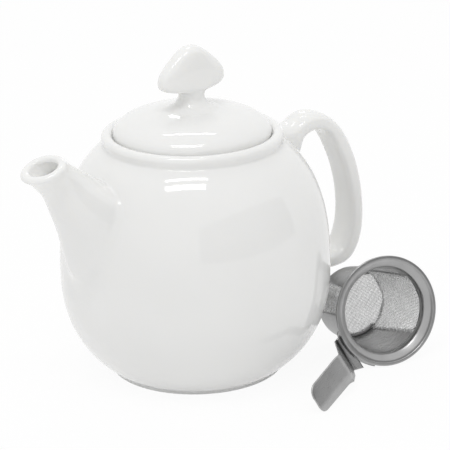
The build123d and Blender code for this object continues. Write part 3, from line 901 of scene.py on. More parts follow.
        behind_first = -0.16
        inner_at = self.crossing(self.bore, round_, behind_first, outside, self.inner_skin)
        lead = (1 - np.cos(np.linspace(0, math.pi / 2, 60)))[:, None]
        bore = self.bore(end + (inner_at - end) * lead, round_)
        bore[0] = lip[-1]
        last = bore[-1]
        inner_row, inner_column = self.border(inner_rows, columns)
        bearing = positive(np.arctan2(last[:, 1], last[:, 0]))
        inner_skirt = self.skirt(turn[inner_column], inner_heights[inner_row], bearing, last[:, 2],
                                 self.inner_skin, 9)
        return [skirt, corner, tube, lip, bore, inner_skirt]

    def chord_length(self):
        """Length of the spout's centre line in straight steps."""
        return np.linalg.norm(np.diff(self.spout_stations[:, :2], axis=0), axis=1).sum()

    def handle_end(self, turns, heights, ends, reach, away):
        """Skin round one root of the handle, the root, and where on the loop the root's lines end."""
        round_ = np.linspace(0, 2 * math.pi, len(turns))
        at = self.crossing(self.handle, round_, *ends, self.skin)
        middle = self.handle(np.full_like(round_, float(at.mean())), round_).mean(0)
        corner, bearing, height, start = self.root(self.handle, round_, at, middle, reach, away, self.skin)
        return self.skirt(turns, heights, bearing, height, self.skin, 5), corner, start

    def handle_grids(self, turn, heights, low_rows, high_rows, columns):
        """Skin round both roots of the handle, the two roots and the loop between them."""
        row, column = self.border(high_rows, columns)
        count = len(row)
        round_ = np.linspace(0, 2 * math.pi, count)
        reach = self.s.handle_root * (1 - self.UPPER_ROOT_CUT * (1 - np.cos(round_)) / 2)
        skirt, corner, start = self.handle_end(turn[column], heights[row], self.UPPER_END, reach, 1.0)
        row, column = self.border(low_rows, columns)
        order = ((count - 1) // 2 - np.arange(count)) % (count - 1)
        reach = np.full_like(round_, self.s.handle_root)
        low_skirt, low_corner, end = self.handle_end(turn[column[order]], heights[row[order]],
                                                     self.LOWER_END, reach, -1.0)
        loop = self.handle(start + (end - start) * np.linspace(0, 1, 121)[:, None], round_)
        return [skirt, corner, loop, low_corner, low_skirt]


class TEAPOT_OT_pot(bpy.types.Operator):
    """Builds the pot: body, spout and handle in one glazed skin"""
    bl_idname = "teapot.add_pot"
    bl_label = "Pot"

    def execute(self, context):
        """Adds the pot."""
        settings = context.scene.teapot
        grids, holes = PotShape(settings.pot).grids()
        mesh = mesh_from_grids("pot", grids, holes)
        add_piece(mesh, "pot", "glaze", glaze_material(settings.finish), "pot_body", "spout", "pot_handle")
        return {"FINISHED"}


# ---------------------------------------------------------------- lid

def dome_line(radius, base, rise, power, steps=30):
    """Half outline of a dome from its edge to its crown: a quarter superellipse."""
    turn = np.linspace(0, math.pi / 2, steps)
    return np.stack([radius * power_wave(np.cos(turn), power),
                     base + rise * power_wave(np.sin(turn), power)], -1)


def dome_height(reach, radius, base, rise, power):
    """Height of the same dome at a distance from its axis."""
    return base + rise * (1 - (reach / radius)**power)**(1 / power)


def lid_sections(sizes):
    """Stations of lid and knob along their outline, as (half length, half thickness, height), and how many
    of them belong to the round lid."""
    radius, low = LID_HIGH.x, LID_LOW.z + sizes.skirt_drop
    base, crown = low + sizes.edge_height, LID_HIGH.z
    outside = (radius, base, crown - base, sizes.dome_power)
    hollow = radius - sizes.edge_wall
    inside = (hollow, base, crown - base - sizes.wall, sizes.dome_power)
    skirt_in, skirt_out = sizes.skirt_radius - sizes.skirt_wall, sizes.skirt_radius
    inner_in, inner_out = (dome_height(reach, *inside) for reach in (skirt_in, skirt_out))
    ceiling = dome_line(*inside)[::-1]
    spare, bend = 1.0 * MM, 0.8 * MM
    before = ceiling[ceiling[:, 0] < skirt_in - spare]
    after = ceiling[ceiling[:, 0] > skirt_out + spare]
    skirt = soft_corners([(skirt_in - bend, inner_in), (skirt_in, inner_in - bend), (skirt_in, LID_LOW.z),
                          (skirt_out, LID_LOW.z), (skirt_out, inner_out - bend),
                          (skirt_out + bend, inner_out)],
                         [0.6 * MM, 1.0 * MM, 1.0 * MM, 0.6 * MM])
    edge = soft_corners([(hollow, base), (hollow, low), (radius, low), (radius, base)], [0.8 * MM, 2.6 * MM])
    dome = dome_line(*outside, 60)[1:]
    dome = dome[dome[:, 0] > KNOB_JOIN[0] * MM]
    pitch = 1.6 * MM
    outline = even_steps(np.concatenate([before, skirt, after, edge, dome]), pitch)
    rounds = np.stack([outline[:, 0], outline[:, 0], outline[:, 1]], -1)
    join = [(reach * MM, reach * MM, dome_height(reach * MM, *outside)) for reach in KNOB_JOIN]
    knob = [(half_length * MM, half_thickness * MM, crown + height * MM)
            for height, half_length, half_thickness in KNOB_STATIONS]
    stations = np.array(join + knob)
    knob = natural_spline(chord_knots(stations[:, [0, 2]]), stations, np.linspace(0, 1, 96))
    knob[-1, :2] = 0
    return np.concatenate([rounds, knob[1:]]), len(rounds)


class TEAPOT_OT_lid(bpy.types.Operator):
    """Builds the lid with its knob: level sections that go from circles to flat superellipses"""
    bl_idname = "teapot.add_lid"
    bl_label = "Lid"

    def execute(self, context):
        """Adds the lid."""
        settings = context.scene.teapot
        sections, round_count = lid_sections(settings.lid)
        turn = np.linspace(0, 2 * math.pi, 161)
        flat_start, flat_run = 6 * MM, 6 * MM
        flat = smooth_step((sections[:, 2] - LID_HIGH.z - flat_start) / flat_run)
        flat[:round_count] = 0
        power = (2 + (settings.lid.knob_power - 2) * flat)[:, None]
        half_length, half_thickness, height = (column[:, None] for column in sections.T)
        grid = np.stack([half_length * power_wave(np.cos(turn), power),
                         half_thickness * power_wave(np.sin(turn), power),
                         np.broadcast_to(height, (len(sections), len(turn)))], -1)
        mesh = mesh_from_grids("lid_and_knob", [grid])
        add_piece(mesh, "lid", "glaze", glaze_material(settings.finish), "lid", "lid_knob")
        return {"FINISHED"}


# ---------------------------------------------------------------- infuser

class InfuserShape:
    """The infuser in its own frame, mouth up with the flange's top at height 0, and its place on the
    table."""

    # The meshes: their depth under the sheet, how far the base reaches over its lip, and the height of the
    # weave as a share of a wire's thickness.
    MESH_DEPTH, BASE_LAP, WEAVE = 0.35 * MM, 0.7 * MM, 0.46
    # Where the strap's crown and its curl start and how far on they are full, along the strap, and where the
    # curl does so across it, in millimetres.
    CROWN_ALONG, CURL_ALONG, CURL_ACROSS = (24.0, 14.0), (17.0, 12.0), (2.4, 5.0)

    def __init__(self, settings):
        """Works out the basket's radii, its tilt on the table and the matrix that lays it there."""
        self.s = s = settings.infuser
        self.basket_radius = s.rim_radius - s.rim_width
        self.base_radius = self.basket_radius - s.taper
        self.window_ends = (s.window_band - s.basket_depth, -s.collar_depth - s.window_drop)
        edge = s.hem_height - s.hem_chamfer
        tilt = math.atan2(s.rim_radius - self.base_radius, s.basket_depth - edge)
        mouth = Vector((-math.sin(s.heading) * math.cos(tilt), -math.cos(s.heading) * math.cos(tilt),
                        math.sin(tilt)))
        side = Vector((math.cos(s.heading), -math.sin(s.heading), 0.0))
        distance = settings.pot.belly_radius + s.stand_off
        centre = Vector((distance * math.cos(s.bearing), distance * math.sin(s.bearing),
                         s.rim_radius * math.cos(tilt) + edge * math.sin(tilt)))
        self.matrix = axes_matrix(side, mouth.cross(side), mouth, centre)

    def wall(self, height, inset=0.0):
        """Radius of the basket's cone at a height below the flange, set in by some inset."""
        return self.basket_radius + self.s.taper * height / self.s.basket_depth - inset

    def on_wall(self, turn, height, inset=0.0):
        """Points of the same cone: x = radius cos(turn), y = radius sin(turn), z = height."""
        turn, height = np.broadcast_arrays(turn, height)
        radius = self.wall(height, inset)
        return np.stack([radius * np.cos(turn), radius * np.sin(turn), height], -1)

    def mark_inside(self, mesh):
        """Writes the attribute "inside" on a mesh's points: 1 where the surface faces the basket's axis. The
        wall's steel reads it to colour the inside lighter, as painted light.
        """
        points = np.empty(3 * len(mesh.vertices), np.float32)
        normals = np.empty_like(points)
        mesh.vertices.foreach_get("co", points)
        mesh.vertices.foreach_get("normal", normals)
        array = np.array(self.matrix)
        away = (points.reshape(-1, 3) - array[:3, 3]) @ array[:3, :3]
        facing = normals.reshape(-1, 3) @ array[:3, :3]
        inward = (away[:, :2] * facing[:, :2]).sum(1) < 0
        mark = mesh.attributes.new("inside", "FLOAT", "POINT")
        mark.data.foreach_set("value", inward.astype(np.float32))

    def place(self, points, turn=0.0):
        """Points from the infuser's own frame, turned about its axis, to the table."""
        matrix = self.matrix @ Matrix.Rotation(turn, 4, "Z")
        array = np.array(matrix)
        return points @ array[:3, :3].T + array[:3, 3]

    def rim_line(self):
        """Section of the flange: folded hem, step, slope into the throat and skirt inside the wall."""
        s = self.s
        outer = s.sheet + s.layer_gap
        inner = outer + s.sheet
        hem = s.rim_radius - s.hem_width
        flat_share, under_drop = 0.52, 0.2 * MM
        slope = s.rim_radius - s.rim_width * flat_share
        low = -s.hem_step - 2 * s.sheet
        foot, throat = -s.collar_depth, -s.throat_depth
        corners = [(self.wall(foot, inner), foot), (self.wall(throat, inner), throat), (slope, -s.hem_step),
                   (hem, -s.hem_step), (hem + s.hem_step, 0.0), (s.rim_radius, 0.0),
                   (s.rim_radius, -s.hem_height), (hem, -s.hem_height), (hem, low), (slope, low),
                   (self.wall(throat, outer), throat - under_drop), (self.wall(foot, outer), foot),
                   (self.wall(foot, inner), foot)]
        cuts = np.array([1.1, 0.9, 0.06, 0.08, 0.45, 0.45, 0.15, 0.12, 0.5, 0.7, 0.1]) * MM
        return soft_corners(corners, cuts, 6)

    def window(self, side):
        """Turn and half angles at top and foot of a window: the wide one for 1, the one by the strap for
        -1."""
        s = self.s
        if side > 0:
            return 0.0, s.window_top, s.window_foot
        return s.strap_window_turn, s.strap_window_top, s.strap_window_foot

    def window_half(self, height, side):
        """Half width of a window at a height, as an angle; zero above and below it. Its straight sides lean,
        and its corners are round."""
        foot, top = self.window_ends
        _, top_angle, foot_angle = self.window(side)
        half_top = self.wall(top) * math.sin(top_angle)
        half_foot = self.wall(foot) * math.sin(foot_angle)
        half = half_foot + (half_top - half_foot) * np.clip((height - foot) / (top - foot), 0, 1)
        corner = self.s.window_corner
        cut = np.clip(1 - np.minimum(height - foot, top - height) / corner, 0, 1)
        half = half - corner * (1 - np.sqrt(1 - cut**2))
        tiny, widest = 1e-9, 0.99
        half = np.where((height > foot - tiny) & (height < top + tiny), half, 0.0)
        return np.arcsin(np.clip(half / self.wall(height), 0, widest))

    def panel_grid(self, side):
        """Outside and inside of one solid panel of the shell between the two windows, from the base up to
        the throat: the angle runs from one window's edge to the other's. The panel over the windows has side
        1, the one under them -1."""
        s = self.s
        foot, window_top = self.window_ends
        top = -s.throat_depth - 2 * s.layer_gap
        beside = foot + (window_top - foot) * (1 - np.cos(np.linspace(0, math.pi, 60))) / 2
        heights = np.concatenate([[-s.basket_depth],
                                  np.linspace(0.12, 0.98, 3) * s.window_band - s.basket_depth,
                                  beside, np.linspace(window_top, top, 5)[1:]])
        wide, narrow = (self.window_half(heights, window)[:, None] for window in (1, -1))
        turn = s.strap_window_turn
        first, last = (wide, turn - narrow) if side > 0 else (turn + narrow, 2 * math.pi - wide)
        turns = first + (last - first) * np.linspace(0, 1, 61)
        return [self.on_wall(turns, heights[:, None], inset) for inset in (0.0, s.sheet)]

    def lip_radius(self, turn):
        """Inner radius of the lip under the base mesh: wide under the solid panels, narrow under the
        windows."""
        fade, narrowing = 0.2, 0.9
        narrow = 0.0
        for side in (1, -1):
            middle, _, half = self.window(side)
            off = np.abs(np.arctan2(np.sin(turn - middle), np.cos(turn - middle)))
            narrow = np.maximum(narrow, smooth_step((half - off) / fade))
        return self.base_radius - self.s.base_lip * (1 - narrowing * narrow)

    def shell_grids(self):
        """Both panels with their window edges, the top edge, the base's edge and the lip under the base
        mesh."""
        s = self.s
        floor = -s.basket_depth
        grids = []
        for side in (1, -1):
            outside, inside = self.panel_grid(side)
            inside = inside[1:]
            edges = [np.stack([outside[1:, column], inside[:, column]], 1) for column in (0, -1)]
            top = np.stack([outside[-1], inside[-1]])
            turn = np.arctan2(outside[0, :, 1], outside[0, :, 0])
            edge, even = self.lip_radius(turn), np.ones_like(turn)
            radius = np.stack([self.base_radius * even, edge, edge, (self.base_radius - s.sheet) * even,
                               np.hypot(*inside[0, 0, :2]) * even])
            level = np.array([floor, floor, floor + s.sheet, floor + s.sheet, inside[0, 0, 2]])[:, None]
            lip = np.stack([radius * np.cos(turn), radius * np.sin(turn), level * even], -1)
            grids += [outside, inside, *edges, top, lip]
        return grids

    @staticmethod
    def wires(middle, frames, radius, inside, sides=6):
        """Tubes along wires: middle holds each wire's points, frames the two directions across it, and a
        wire's ends close to a point where it leaves the region that inside marks."""
        turn = (np.arange(sides) * 2 * math.pi / sides)[:, None]
        first, second = frames
        ring = np.cos(turn) * first[..., None, :] + np.sin(turn) * second[..., None, :]
        points = middle[..., None, :] + ring * (radius * inside)[..., None, None]
        index = np.arange(inside.size * sides).reshape(*inside.shape, sides)
        beside = np.roll(index, -1, axis=2)
        quads = np.stack([index[:, :-1], index[:, 1:], beside[:, 1:], beside[:, :-1]], -1)
        keep = inside[:, :-1] | inside[:, 1:]
        return points.reshape(-1, 3), quads[keep].reshape(-1, 4)

    def lapped(self, turn, height, side, mean):
        """Whether points lie behind a window or within the mesh's margin round it, at a mean radius. The
        margin's edge is ragged: it swings by half a pitch with height and turn."""
        s = self.s
        foot, top = self.window_ends
        swing, waves_up, waves_round = 0.5 * s.mesh_pitch, 2900.0, 40.0
        bound = self.window_half(np.clip(height, foot + s.window_corner, top - s.window_corner), side)
        ragged = swing * np.sin(height * waves_up + turn * waves_round)
        return np.abs(turn) < bound + (s.mesh_margin + ragged) / mean

    def wall_mesh(self, side):
        """Woven wires behind one window: risers along the cone and hoops round it. Each point moves out or
        in by the weave's height where wires cross, so that risers and hoops pass over each other in turn."""
        s = self.s
        top = -s.collar_depth - s.layer_gap
        low = s.sheet + s.layer_gap - s.basket_depth
        inset = s.sheet + s.layer_gap + self.MESH_DEPTH
        mean = self.wall((top + low) / 2, inset)
        pitch_turn = s.mesh_pitch / mean
        window_turn, _, foot_angle = self.window(side)
        risers = int((foot_angle + s.mesh_margin / mean + pitch_turn) / pitch_turn)
        hoops = int((top - low) / s.mesh_pitch)
        pieces = []
        for flip in (1, -1):
            if flip > 0:
                riser = np.arange(-risers, risers + 1)[:, None]
                hoop = np.arange(2 * hoops + 1)[None] / 2
            else:
                riser = np.arange(-2 * risers, 2 * risers + 1)[None] / 2
                hoop = np.arange(hoops + 1)[:, None]
            turn, height = np.broadcast_arrays(riser * pitch_turn, low + hoop * s.mesh_pitch)
            out = flip * self.WEAVE * s.wire * np.cos(math.pi * (riser + hoop))
            flat = 0 * turn
            radial = np.stack([np.cos(turn), np.sin(turn), flat], -1)
            around = np.stack([-np.sin(turn), np.cos(turn), flat], -1)
            upward = np.stack([flat, flat, 1 + flat], -1)
            frames = (around, radial) if flip > 0 else (radial, upward)
            pieces.append(self.wires(self.on_wall(turn, height, inset - out), frames, s.wire / 2,
                                     self.lapped(turn, height, side, mean)))
        return self.joined(pieces, window_turn)

    def base_mesh(self):
        """Round woven mesh of the base: straight wires both ways, passing over each other in turn."""
        s = self.s
        level = s.sheet + s.layer_gap + self.MESH_DEPTH - s.basket_depth
        radius = self.wall(level, s.sheet + s.layer_gap)
        skew = math.radians(4.0)
        count = int(radius / s.mesh_pitch)
        whole = np.arange(-count, count + 1)[:, None]
        half = np.arange(-2 * count, 2 * count + 1)[None] / 2
        across, along = np.broadcast_arrays(whole * s.mesh_pitch, half * s.mesh_pitch)
        out = self.WEAVE * s.wire * np.cos(math.pi * (whole + half))
        x, y, z = (np.broadcast_to(axis, (*across.shape, 3)) for axis in np.eye(3))
        pieces = []
        for place, frames in (((across, along, level + out), (z, x)),
                              ((along, across, level - out), (y, z))):
            bearing = np.arctan2(place[1], place[0]) + skew
            reach = np.minimum(radius, self.lip_radius(bearing) + self.BASE_LAP)
            pieces.append(self.wires(np.stack(place, -1), frames, s.wire / 2,
                                     np.hypot(across, along) < reach))
        return self.joined(pieces, skew)

    def joined(self, pieces, turn):
        """Points and faces of several pieces as one, laid on the table, without unused points."""
        points = np.concatenate([points for points, _ in pieces])
        shift = np.cumsum([0] + [len(points) for points, _ in pieces[:-1]])
        faces = np.concatenate([faces + step for (_, faces), step in zip(pieces, shift)])
        used, faces = np.unique(faces, return_inverse=True)
        return self.place(points[used], turn), faces.reshape(-1, 4)

    def strap_line(self):
        """The strap's centre line with round bends, as (reach past the flange, height)."""
        corners = np.array(STRAP_PATH) * MM
        cuts = []
        for before, corner, after, bend in zip(corners[:-2], corners[1:-1], corners[2:], STRAP_BENDS):
            first, second = corner - before, after - corner
            cosine = first @ second / (np.linalg.norm(first) * np.linalg.norm(second))
            cuts.append(bend * MM * math.tan(math.acos(cosine) / 2))
        return soft_corners(corners, cuts, 12)

    def strap_edges(self, reach, past):
        """Offsets of the strap's two long edges at reaches past the flange. Past is how far a place lies
        past the start of the tip's round corners, where quarter circles draw the edges in."""
        near, far = (np.interp(reach, *soft_corners(np.array(points) * MM, np.array(cuts) * MM, 8).T)
                     for points, cuts in ((STRAP_NEAR, STRAP_NEAR_CUTS), (STRAP_FAR, STRAP_FAR_CUTS)))
        tip = self.s.strap_tip
        drop = tip * (1 - np.sqrt(1 - (np.clip(past, 0, tip) / tip)**2))
        return (near + drop)[:, None], (far - drop)[:, None]

    @staticmethod
    def strap_rings(near, far, half):
        """Rings round the strap's section, as offset across and lift over the middle of the sheet: over the
        top, round the far edge in half a circle, back below and round the near edge."""
        share = (1 - np.cos(np.linspace(0, math.pi, 25))) / 2
        edge_turn = np.radians(np.linspace(90, -90, 7))[1:-1]
        top = near + half + (far - near - 2 * half) * share
        right = far - half + half * np.cos(edge_turn)
        left = near + half - half * np.cos(edge_turn)
        flat, round_ = np.full_like(share, half), half * np.sin(edge_turn)
        return (np.concatenate([top, right, top[:, ::-1], left, top[:, :1]], 1),
                np.concatenate([flat, round_, -flat, -round_, [half]]))

    def strap_grid(self):
        """The strap: its centre line carried between its two long edges, with a rounded edge all round and a
        round-cornered tip. Its grip rises by the crown, less the square of the way across it, and its far
        edge drops by the curl."""
        s = self.s
        line = self.strap_line()
        steps = np.concatenate([[0], np.cumsum(np.linalg.norm(np.diff(line, axis=0), axis=1))])
        run = steps[-1] - s.strap_tip
        pitch = 0.6 * MM
        places = np.unique(np.concatenate([
            np.arange(0, run, pitch), steps[steps < run], [run],
            run + s.strap_tip * np.sin(np.linspace(0, math.pi / 2, 14))]))
        centre = np.stack([np.interp(places, steps, column) for column in line.T], -1)
        ahead = np.gradient(centre, places, axis=0)
        ahead /= np.linalg.norm(ahead, axis=1)[:, None]
        normal = np.stack([-ahead[:, 1], ahead[:, 0]], -1)

        near, far = self.strap_edges(centre[:, 0], places - run)
        half = s.strap_thickness / 2
        offset, lift = self.strap_rings(near, far, half)
        crown, curl = (np.clip((places / MM - start) / growth, 0, 1)[:, None]
                       for start, growth in (self.CROWN_ALONG, self.CURL_ALONG))
        curl_start, curl_growth = self.CURL_ACROSS
        sideways = (2 * offset - near - far) / (far - near)
        bulge = (s.strap_crown * crown * (1 - sideways**2)
                 - s.strap_curl * curl * np.clip((offset / MM - curl_start) / curl_growth, 0, 1)**2)
        middle = centre[:, None] + normal[:, None] * (lift + bulge)[..., None]
        root, tip = (centre[end] + normal[end] * bulge[end, :, None] + outward * ahead[end] * half / 2
                     for end, outward in ((0, -1), (-1, 1)))
        middle = np.concatenate([root[None], middle, tip[None]])
        offset = np.concatenate([offset[:1], offset, offset[-1:]])
        return np.stack([s.rim_radius + middle[..., 0], offset, middle[..., 1]], -1)

    def band_grid(self):
        """The strap's foot: an angle-shaped sheet, a band on the collar and a wing under the flange, carried
        round the axis; the wing grows out of the band where the strap's root begins."""
        s = self.s
        top = STRAP_LEVEL * MM + s.strap_thickness / 2
        under, low = top - s.strap_thickness, top - s.band_height
        near, far = -s.layer_gap, -s.layer_gap - s.strap_thickness
        turn = np.radians(np.linspace(*BAND_SECTOR, 64))[:, None]
        grow = smooth_step((np.degrees(turn) - WING_START) / WING_GROWTH)
        band = self.wall(top, far)
        reach = band + s.layer_gap + (s.rim_radius + s.wing_width - band) * grow
        ring = [(self.wall(low, near), low), (self.wall(low, far), low), (self.wall(under, far), under),
                (reach, under), (reach, top), (self.wall(top, near), top), (self.wall(low, near), low)]
        radius, height = (np.concatenate([value + 0 * turn for value in column], 1) for column in zip(*ring))
        grid = np.stack([radius * np.cos(turn), radius * np.sin(turn), height], -1)
        ends = [np.stack([grid[end, [0, 5, 5]], grid[end, [1, 2, 5]]], 0) for end in (0, -1)]
        return [grid, *ends]


class TEAPOT_OT_infuser_flange(bpy.types.Operator):
    """Builds the infuser's rolled flange"""
    bl_idname = "teapot.add_infuser_flange"
    bl_label = "Infuser flange"

    def execute(self, context):
        """Adds the flange."""
        settings = context.scene.teapot
        shape = InfuserShape(settings)
        pitch, columns = 1.2 * MM, 192
        grid = shape.place(revolved(even_steps(shape.rim_line(), pitch), columns))
        mesh = mesh_from_grids("infuser_flange", [grid])
        steel = steel_material(settings.finish, "satin steel, turned", shape.matrix, ring_grain)
        add_piece(mesh, "infuser", "steel", steel, "infuser_rim")
        return {"FINISHED"}


class TEAPOT_OT_infuser_shell(bpy.types.Operator):
    """Builds the infuser's sheet wall with its two windows"""
    bl_idname = "teapot.add_infuser_shell"
    bl_label = "Infuser shell"

    def execute(self, context):
        """Adds the shell."""
        settings = context.scene.teapot
        finish = settings.finish
        shape = InfuserShape(settings)
        mesh = mesh_from_grids("infuser_wall", [shape.place(grid) for grid in shape.shell_grids()])
        shape.mark_inside(mesh)
        # painted shade on the wall's outside and painted light on its inside, by the two shade factors
        steel = steel_material(finish, "satin steel, wall, painted shade and light", shape.matrix, ring_grain, finish.outer_painted_shade,
                               finish.inner_painted_light)
        add_piece(mesh, "infuser", "steel", steel, "infuser_shell")
        return {"FINISHED"}


class TEAPOT_OT_infuser_mesh(bpy.types.Operator):
    """Weaves the wires of the infuser's two windows and of its base"""
    bl_idname = "teapot.add_infuser_mesh"
    bl_label = "Infuser mesh"

    def execute(self, context):
        """Adds the three meshes."""
        settings = context.scene.teapot
        shape = InfuserShape(settings)
        wire = wire_material(settings.finish)
        for name, woven, node in (("mesh_right", shape.wall_mesh(1), "infuser_mesh_wall"),
                                  ("mesh_left", shape.wall_mesh(-1), "infuser_mesh_wall"),
                                  ("mesh_base", shape.base_mesh(), "infuser_mesh_base")):
            add_piece(plain_mesh(name, *woven), "infuser", "steel_mesh", wire, node)
        return {"FINISHED"}


class TEAPOT_OT_infuser_strap(bpy.types.Operator):
    """Builds the infuser's strap handle with its foot and its spot welds"""
    bl_idname = "teapot.add_infuser_strap"
    bl_label = "Infuser strap"

    def execute(self, context):
        """Adds the strap, its foot and the welds."""
        settings = context.scene.teapot
        shape = InfuserShape(settings)
        turn = settings.infuser.strap_turn
        steel = steel_material(settings.finish, "satin steel, straight",
                               shape.matrix @ Matrix.Rotation(turn, 4, "Z"), long_grain)
        strap = [shape.place(shape.strap_grid(), turn)]
        foot = [shape.place(grid, turn) for grid in shape.band_grid()]
        for name, grids, node in (("infuser_strap", strap, "infuser_handle"),
                                  ("strap_foot", foot, "infuser_handle"),
                                  ("spot_welds", self.welds(shape), "handle_welds")):
            add_piece(mesh_from_grids(name, grids), "infuser", "steel", steel, node)
        return {"FINISHED"}

    @staticmethod
    def welds(shape):
        """Low round buttons on the strap's band: radius times cosine and height times sine of a quarter
        turn."""
        s = shape.s
        level = STRAP_LEVEL * MM - s.band_height / 2
        reach = shape.wall(level, -s.layer_gap - s.strap_thickness)
        up = np.linspace(0, math.pi / 2, 8)[:, None]
        round_ = np.linspace(0, 2 * math.pi, 33)
        across = s.weld_radius * np.cos(up) * np.cos(round_)
        along = s.weld_radius * np.cos(up) * np.sin(round_)
        lift = s.weld_height * np.sin(up) + 0 * round_
        top = np.stack([reach + lift, across, level + along], -1)
        under = np.stack([reach - s.layer_gap + 0 * lift[:2], across[[0, -1]], level + along[[0, -1]]], -1)
        side = np.stack([top[0], under[0]])
        return [shape.place(grid, s.strap_turn + math.radians(turn))
                for turn in WELD_ANGLES for grid in (top, under, side)]


# ---------------------------------------------------------------- stage

def towards(azimuth, elevation):
    """Unit direction from the table's middle: azimuth 0 is -Y and turns towards +X."""
    return Vector((math.sin(azimuth) * math.cos(elevation), -math.cos(azimuth) * math.cos(elevation),
                   math.sin(elevation)))


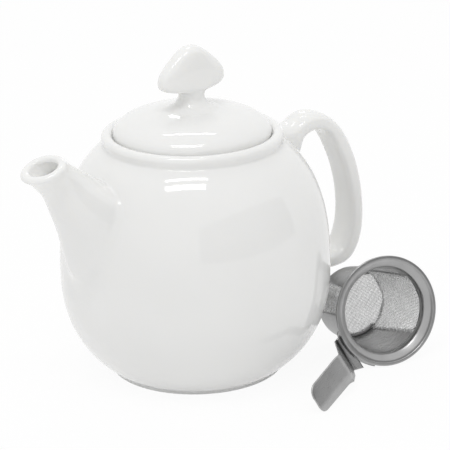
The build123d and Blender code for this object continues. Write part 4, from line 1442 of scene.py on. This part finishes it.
class TEAPOT_OT_stage(bpy.types.Operator):
    """Sets the floor, the even light, the strip lights, the grey card and the camera"""
    bl_idname = "teapot.add_stage"
    bl_label = "Stage"

    def execute(self, context):
        """Adds the stage, with colours shown as they are."""
        settings = context.scene.teapot.stage
        self.floor(settings)
        self.sky(context.scene, settings)
        self.strips(settings)
        self.card(settings)
        self.camera(context.scene, settings)
        context.scene.view_settings.view_transform = "Standard"
        return {"FINISHED"}

    @staticmethod
    def sheet(name, corners, material):
        """Object of one four-cornered sheet."""
        mesh = bpy.data.meshes.new(name)
        fill_mesh(mesh, np.array(corners), np.array([[0, 1, 2, 3]]))
        return placed(mesh, material)

    def floor(self, settings):
        """A wide pale floor: seen as nearly white, with the object's shadow left on it."""
        material = bpy.data.materials.new("pale floor")
        tree = Tree(material)
        matt = tree.add("ShaderNodeBsdfDiffuse", {"Color": (*settings.floor, 1.0)})
        glow = tree.add("ShaderNodeEmission", {"Strength": 1.0})
        part = tree.add("ShaderNodeMath", {1: settings.floor_glow}, operation="MULTIPLY")
        tree.link(tree.seen(), part.inputs[0])
        mixed = tree.mixed(part.outputs["Value"], matt.outputs["BSDF"], glow.outputs["Emission"])
        tree.link(mixed, tree.add("ShaderNodeOutputMaterial").inputs["Surface"])
        side = 30.0
        corners = [(-side, -side, 0), (side, -side, 0), (side, side, 0), (-side, side, 0)]
        floor = self.sheet("floor", corners, material)

    def sky(self, scene, settings):
        """Even light from all sides, seen as white by the camera, in mirrors and through glass."""
        world = bpy.data.worlds.new("studio")
        tree = Tree(world)
        white = (1, 1, 1, 1)
        light, seen = (tree.add("ShaderNodeBackground", {"Color": white, "Strength": strength})
                       for strength in (settings.sky, 1.0))
        mixed = tree.mixed(tree.seen(), light.outputs["Background"], seen.outputs["Background"])
        tree.link(mixed, tree.add("ShaderNodeOutputWorld").inputs["Surface"])
        scene.world = world

    def strips(self, settings):
        """Long narrow lamps that face the pot's lid."""
        target = Vector((0, 0, LID_HIGH.z))
        away = settings.strip_distance
        for number_, (azimuth, elevation, long_, wide) in enumerate(STRIPS):
            lamp = bpy.data.lights.new(f"strip_{number_}", "AREA")
            lamp.shape = "RECTANGLE"
            lamp.size = 2 * away * math.tan(math.radians(long_) / 2)
            lamp.size_y = 2 * away * math.tan(math.radians(wide) / 2)
            lamp.energy = settings.strip * math.pi * lamp.size * lamp.size_y
            direction = towards(math.radians(azimuth), math.radians(elevation))
            side = Vector((math.cos(settings.azimuth), math.sin(settings.azimuth), 0))
            side = (side - side.dot(direction) * direction).normalized()
            strip = bpy.data.objects.new(lamp.name, lamp)
            strip.matrix_world = axes_matrix(side, direction.cross(side), direction,
                                             target + direction * away)
            bpy.context.scene.collection.objects.link(strip)

    def card(self, settings):
        """Upright grey card in front of the table, seen only in the reflections."""
        material = bpy.data.materials.new("grey card")
        tree = Tree(material)
        glow = tree.add("ShaderNodeEmission", {"Strength": settings.card})
        tree.link(glow.outputs["Emission"], tree.add("ShaderNodeOutputMaterial").inputs["Surface"])
        azimuth = settings.card_azimuth
        middle = towards(azimuth, 0.0) * settings.card_distance
        side = Vector((math.cos(azimuth), math.sin(azimuth), 0)) * settings.card_half_width
        left, right = (middle - side).xy, (middle + side).xy
        low, high = -settings.card_low, settings.card_high
        corners = [(*right, low), (*left, low), (*left, high), (*right, high)]
        card = self.sheet("grey_card", corners, material)
        card.visible_camera = False
        card.visible_diffuse = False
        card.visible_shadow = False
        card.visible_transmission = False

    def camera(self, scene, settings):
        """Long lens from the side of the spout, slightly above."""
        data = bpy.data.cameras.new("camera")
        data.lens = settings.lens
        data.sensor_width, data.clip_end = 36.0, 100.0
        data.shift_x, data.shift_y = settings.shift_x, settings.shift_y
        camera = bpy.data.objects.new("camera", data)
        direction = towards(settings.azimuth, settings.elevation)
        centre = Vector((0, 0, settings.look_height))
        turn = direction.to_track_quat("Z", "Y").to_matrix().to_4x4()
        camera.matrix_world = (Matrix.Translation(centre + direction * settings.distance) @ turn
                               @ Matrix.Rotation(settings.roll, 4, "Z"))
        scene.collection.objects.link(camera)
        scene.camera = camera


OPERATORS = (TEAPOT_OT_pot, TEAPOT_OT_lid, TEAPOT_OT_infuser_flange, TEAPOT_OT_infuser_shell,
             TEAPOT_OT_infuser_mesh, TEAPOT_OT_infuser_strap, TEAPOT_OT_stage)


class TEAPOT_PT_panel(bpy.types.Panel):
    """Lists the builders of the set"""
    bl_idname = "TEAPOT_PT_panel"
    bl_label = "Teapot"
    bl_space_type = "VIEW_3D"
    bl_region_type = "UI"
    bl_category = "Teapot"

    def draw(self, context):
        """Shows one button for each builder."""
        for operator in OPERATORS:
            self.layout.operator(operator.bl_idname)


CLASSES = (PotSizes, LidSizes, InfuserSizes, Finishes, StageSettings, TeapotSettings, *OPERATORS,
           TEAPOT_PT_panel)


def register():
    """Registers the classes and hangs the settings on the scene."""
    for class_ in CLASSES:
        bpy.utils.register_class(class_)
    bpy.types.Scene.teapot = bpy.props.PointerProperty(type=TeapotSettings)


def unregister():
    """Undoes what register does."""
    del bpy.types.Scene.teapot
    for class_ in reversed(CLASSES):
        bpy.utils.unregister_class(class_)


def main():
    """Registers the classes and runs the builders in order."""
    register()
    bpy.ops.teapot.add_pot()
    bpy.ops.teapot.add_lid()
    bpy.ops.teapot.add_infuser_flange()
    bpy.ops.teapot.add_infuser_shell()
    bpy.ops.teapot.add_infuser_mesh()
    bpy.ops.teapot.add_infuser_strap()
    bpy.ops.teapot.add_stage()


if __name__ == "__main__":
    main()
